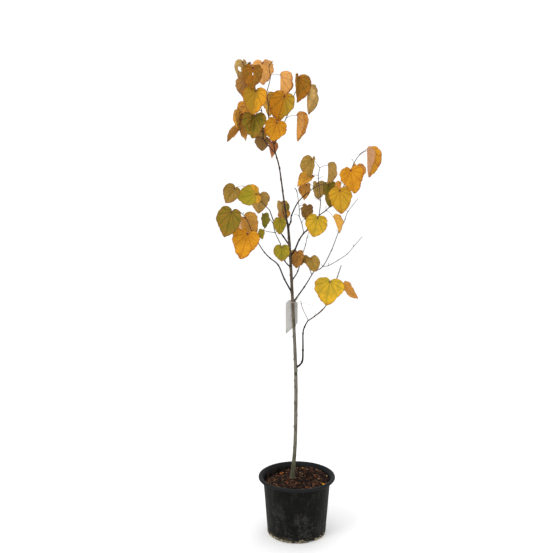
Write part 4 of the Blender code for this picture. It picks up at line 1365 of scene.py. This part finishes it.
def lumpForm(dice):              # a rough rounded crumb
    deselectAll()
    bpy.ops.mesh.primitive_uv_sphere_add(segments=8, ring_count=5, radius=0.5, location=(0, 0, 0))
    form = nameAdded("lumpForm")
    points = pointsOf(form.data)
    points *= np.array([[dice.uniform(0.72, 1.2)] for _ in points])
    faces = [list(face.vertices) for face in form.data.polygons]
    removePiece(form)
    return points, faces


crustRing = {
    "flakes": 1100,
    "lengths": (2.0 * mm, 10.5 * mm),
    "heights": (0.4 * mm, 13 * mm),
    "radii": (117.6 * mm, 122.2 * mm),       # on the pot's round foot, and on its wall above
    "footHeight": 5 * mm,
    "headings": ((178, 262), (268, 291), (307, 345), (20, 90), (110, 165)),      # muddy stretches
    "weights": (9, 2, 5, 3, 3),              # how much mud each has
    "tints": (                   # share of the flakes, then three colours
        (5, (178, 168, 140), (148, 138, 113), (200, 190, 164)),
        (3, (134, 124, 102), (108, 99, 80), (158, 148, 124)),
        (2, (62, 56, 46), (44, 40, 33), (86, 78, 64)),
    ),
    "lumps": 14,                 # big ones by a notch
    "lumpHeading": 281,
    "lumpSpread": 3.2,
    "lumpRadius": 121.5 * mm,
    "lumpLength": (7, 13),       # mm
    "lumpRise": 7,
}


def buildCrust():                # dried mud that has stuck to the pot's bottom edge
    dice = random.Random(seed + 1)
    forms = [lumpForm(dice) for _ in range(6)]
    materials = [mixMaterial("dryMud%d" % i, *tint[1:]) for i, tint in enumerate(crustRing["tints"])]
    shares = [tint[0] for tint in crustRing["tints"]]
    low, high = crustRing["heights"]
    short, long = crustRing["lengths"]
    foot, wall = crustRing["radii"]
    spots = []
    for _ in range(crustRing["flakes"]):
        sweep = dice.choices(crustRing["headings"], crustRing["weights"])[0]
        turn = math.radians(dice.uniform(*sweep))
        length = short + (long - short) * dice.random() ** 2.3
        clump = 0.5 + 0.5 * noise.noise(Vector((turn * 7, 3, 0)))
        height = low + (high - low) * dice.random() ** 2.2 * clump * 1.6 + length * 0.2
        size = (length * 0.35, length, length * dice.uniform(0.35, 0.6))
        roll = dice.uniform(-0.3, 0.3)
        height = max(height, 0.62 * (size[1] * abs(math.sin(roll)) + size[2]))       # none below the floor
        outward = foot + (wall - foot) * min(1, height / crustRing["footHeight"])
        spot = Vector((outward * math.cos(turn), outward * math.sin(turn), height))
        place = chipPlace(spot, turn, 0, roll, size)
        spots.append((dice.randrange(len(forms)), place, dice.choices(range(len(shares)), shares)[0]))
    for _ in range(crustRing["lumps"]):
        heading = crustRing["lumpHeading"] + dice.gauss(0, crustRing["lumpSpread"])
        length = dice.uniform(*crustRing["lumpLength"]) * mm
        spot = headingVector(heading, 0) * crustRing["lumpRadius"]
        spot.z = length * 0.5 + dice.uniform(0, crustRing["lumpRise"]) * mm
        place = chipPlace(spot, math.radians(heading), 0, 0, (length * 0.5, length, length * 0.7))
        spots.append((dice.randrange(len(forms)), place, dice.choices(range(len(shares)), shares)[0]))
    piece = scatterPiece("driedMud", forms, spots, materials)
    activate(piece)
    bpy.ops.object.shade_smooth()


bitForm = {                      # bits of leaf that have dropped on the mix
    "bits": (                    # x, y, width, turn and tint
        (112, -58, 24, 40, "brightOrange"), (-124, -28, 20, 200, "orangeTan"),
        (34, 96, 22, 120, "tanBrown"), (-70, 88, 18, 300, "rust"),
    ),
    "marks": {"ragged": 0.22, "wide": 0.7, "hook": 0.4},
    "bends": (0.35, 0.1, 0.1),   # fold, cup and curl
    "lift": 4.5 * mm,
    "lean": 0.4,
    "roll": 0.3,
    "thickness": 0.25 * mm,
}


def dropBits():
    pieces = []
    for i, (x, y, width, turn, tint) in enumerate(bitForm["bits"]):
        dice = random.Random(i)
        unit = width * mm / leafForm["units"]
        shaped = shapeLeaf(sheetFlat, sheetRim, *bitForm["bends"], dice, bitForm["marks"]) * unit
        spot = Vector((x * mm, y * mm, mixHeight(x * mm, y * mm) + bitForm["lift"]))
        lean = dice.uniform(-bitForm["lean"], bitForm["lean"])
        place = chipPlace(spot, math.radians(turn), lean, bitForm["roll"], (1, 1, 1))
        piece = copyOf(leafSheet, "bit%d" % i)
        setPoints(piece.data, [place @ Vector(point) for point in shaped])
        dress(piece, *leafMaterials[tint])
        pieces.append(piece)
    bits = joinAll(pieces, "leafBits")
    thickenLeaves(bits, bitForm["thickness"])
    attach(bits, "root")


buildMix()
buildChips()
dropBits()
removePiece(leafSheet)
buildCrust()
print("potting mix, chips and dried mud built")


# Bare plant label: a soft plastic strip that hangs by a loop round the trunk

label = {
    "width": 49 * mm,
    "top": 0.985,
    "middle": 0.92,              # height of the part of the trunk that it lies behind
    "left": 0.840,               # height of its lower corners
    "right": 0.887,
    "offset": -7 * mm,
    "behind": 10 * mm,
    "bow": 5 * mm,
    "ribs": 9,
    "ribDepth": 0.25 * mm,
    "leanBack": 4 * mm,          # its lower end hangs this much further back
    "shoulder": 27 * mm,         # how far its top corners are cut down
    "shoulderFrom": 0.35,
    "thickness": 0.5 * mm,
    "loopHeight": 0.978,
    "loopSides": 32,
    "loopGap": 0.9,              # mm
    "loopRadius": 1.0,
    "tail": (60, ((15, 4, 9), (24, 1, 26)), 2.1),            # heading, points in mm and radius
    "thread": (330, ((42, -9, -3), (88, -12, -13)), 0.55),
}


def labelMaterial():
    maker = Maker("labelPlastic")
    spot = maker.place()
    cloud = maker.noise(spot, 30, 3)
    streak = maker.noise(maker.place((1, 1, 0.03)), 420, 2)
    colour = maker.mix(maker.ramp(cloud, 0.35, 0.7), paint(184, 182, 178), paint(166, 164, 159))
    colour = maker.mix(maker.ramp(streak, 0.5, 0.7) * 0.4, colour, paint(146, 144, 138))
    return maker.finish(colour, 0.42 + 0.2 * cloud, streak, 0.15 * mm)


def buildLabel():
    deselectAll()
    bpy.ops.mesh.primitive_grid_add(x_subdivisions=27, y_subdivisions=30, size=2)
    plate = nameAdded("plantLabel")
    middle = heightOn(trunkPath, label["middle"])
    moved = []
    for vert in plate.data.vertices:
        s, t = vert.co.x, (1 - vert.co.y) / 2
        foot = label["left"] + (label["right"] - label["left"]) * (s + 1) / 2
        top = label["top"] - label["shoulder"] * max(0, abs(s) - label["shoulderFrom"]) ** 1.5
        x = middle.x + label["offset"] + s * label["width"] / 2
        y = middle.y + label["behind"] + label["bow"] * s * s
        y += label["ribDepth"] * math.cos(s * math.pi * label["ribs"]) + label["leanBack"] * t * t
        moved.append((x, y, top + (foot - top) * t))
    setPoints(plate.data, moved)
    solid = plate.modifiers.new("thickness", "SOLIDIFY")
    solid.thickness = label["thickness"]
    applyModifiers(plate)
    faceOutwards(plate)
    smoothUnder(40)
    centre = heightOn(trunkPath, label["loopHeight"])
    reach = (trunkGirth(centre.z) + label["loopGap"]) * mm
    sides = label["loopSides"]
    loop = [centre + headingVector(90 + 360 * i / sides, 0) * reach for i in range(sides + 1)]
    strands = [(loop, [label["loopRadius"]] * len(loop))]
    for heading, points, radius in (label["tail"], label["thread"]):
        start = centre + headingVector(heading, 0) * reach
        path = smoothPath([start, *(centre + Vector(point) * mm for point in points)], 8)
        strands.append((path, [radius] * len(path)))
    material = labelMaterial()
    strap = strandMesh("strap", strands, 2, material)
    dress(plate, material)
    piece = joinAll([plate, strap], "plantLabel")
    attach(piece, "root")


buildLabel()
print("label built")


# Studio

studio = {
    "camera": Vector((0, -3.4, 1.624)),
    "pitch": 8.98,
    "yaw": 1.43,
    "lens": 55.6,
    "floor": 30,
    "lights": (                  # name, place, size, watts, what it points at
        ("keyLight", (-2.4, -2.6, 4.0), 1.8, 62, (0, 0, 1.1)),
        ("backLight", (1.2, 3.0, 3.6), 2.0, 20, (0, 0, 1.0)),
    ),
    "world": 1.05,
}


def floorMaterial():
    maker = Maker("paleFloor")
    spot = maker.place()
    cloud = maker.noise(spot, 1.5, 4)
    grain = maker.noise(spot, 180, 3)
    colour = maker.mix(cloud, paint(254, 254, 254), paint(252, 252, 252))
    return maker.finish(colour, 0.8 + 0.1 * cloud, grain, 0.1 * mm)


def buildStudio():
    deselectAll()
    bpy.ops.mesh.primitive_plane_add(size=studio["floor"], location=(0, 0, -0.2 * mm))
    floor = nameAdded("studioFloor")
    settlePlace(floor)
    dress(floor, floorMaterial())
    for name, place, size, power, target in studio["lights"]:
        deselectAll()
        bpy.ops.object.light_add(type="AREA", location=place)
        light = nameAdded(name)
        light.data.size = size
        light.data.energy = power
        light.rotation_euler = (Vector(target) - Vector(place)).to_track_quat("-Z", "Y").to_euler()
    world = bpy.data.worlds.new("studioWorld")
    bpy.context.scene.world = world
    world.use_nodes = True
    world.node_tree.nodes["Background"].inputs["Color"].default_value = (1, 1, 1, 1)
    world.node_tree.nodes["Background"].inputs["Strength"].default_value = studio["world"]
    turn = (math.radians(90 - studio["pitch"]), 0, math.radians(studio["yaw"]))
    bpy.ops.object.camera_add(location=studio["camera"], rotation=turn)
    camera = nameAdded("studioCamera")
    camera.data.lens = studio["lens"]
    camera.data.sensor_width = 36
    camera.data.dof.use_dof = False
    bpy.context.scene.camera = camera


buildStudio()
print("studio built")
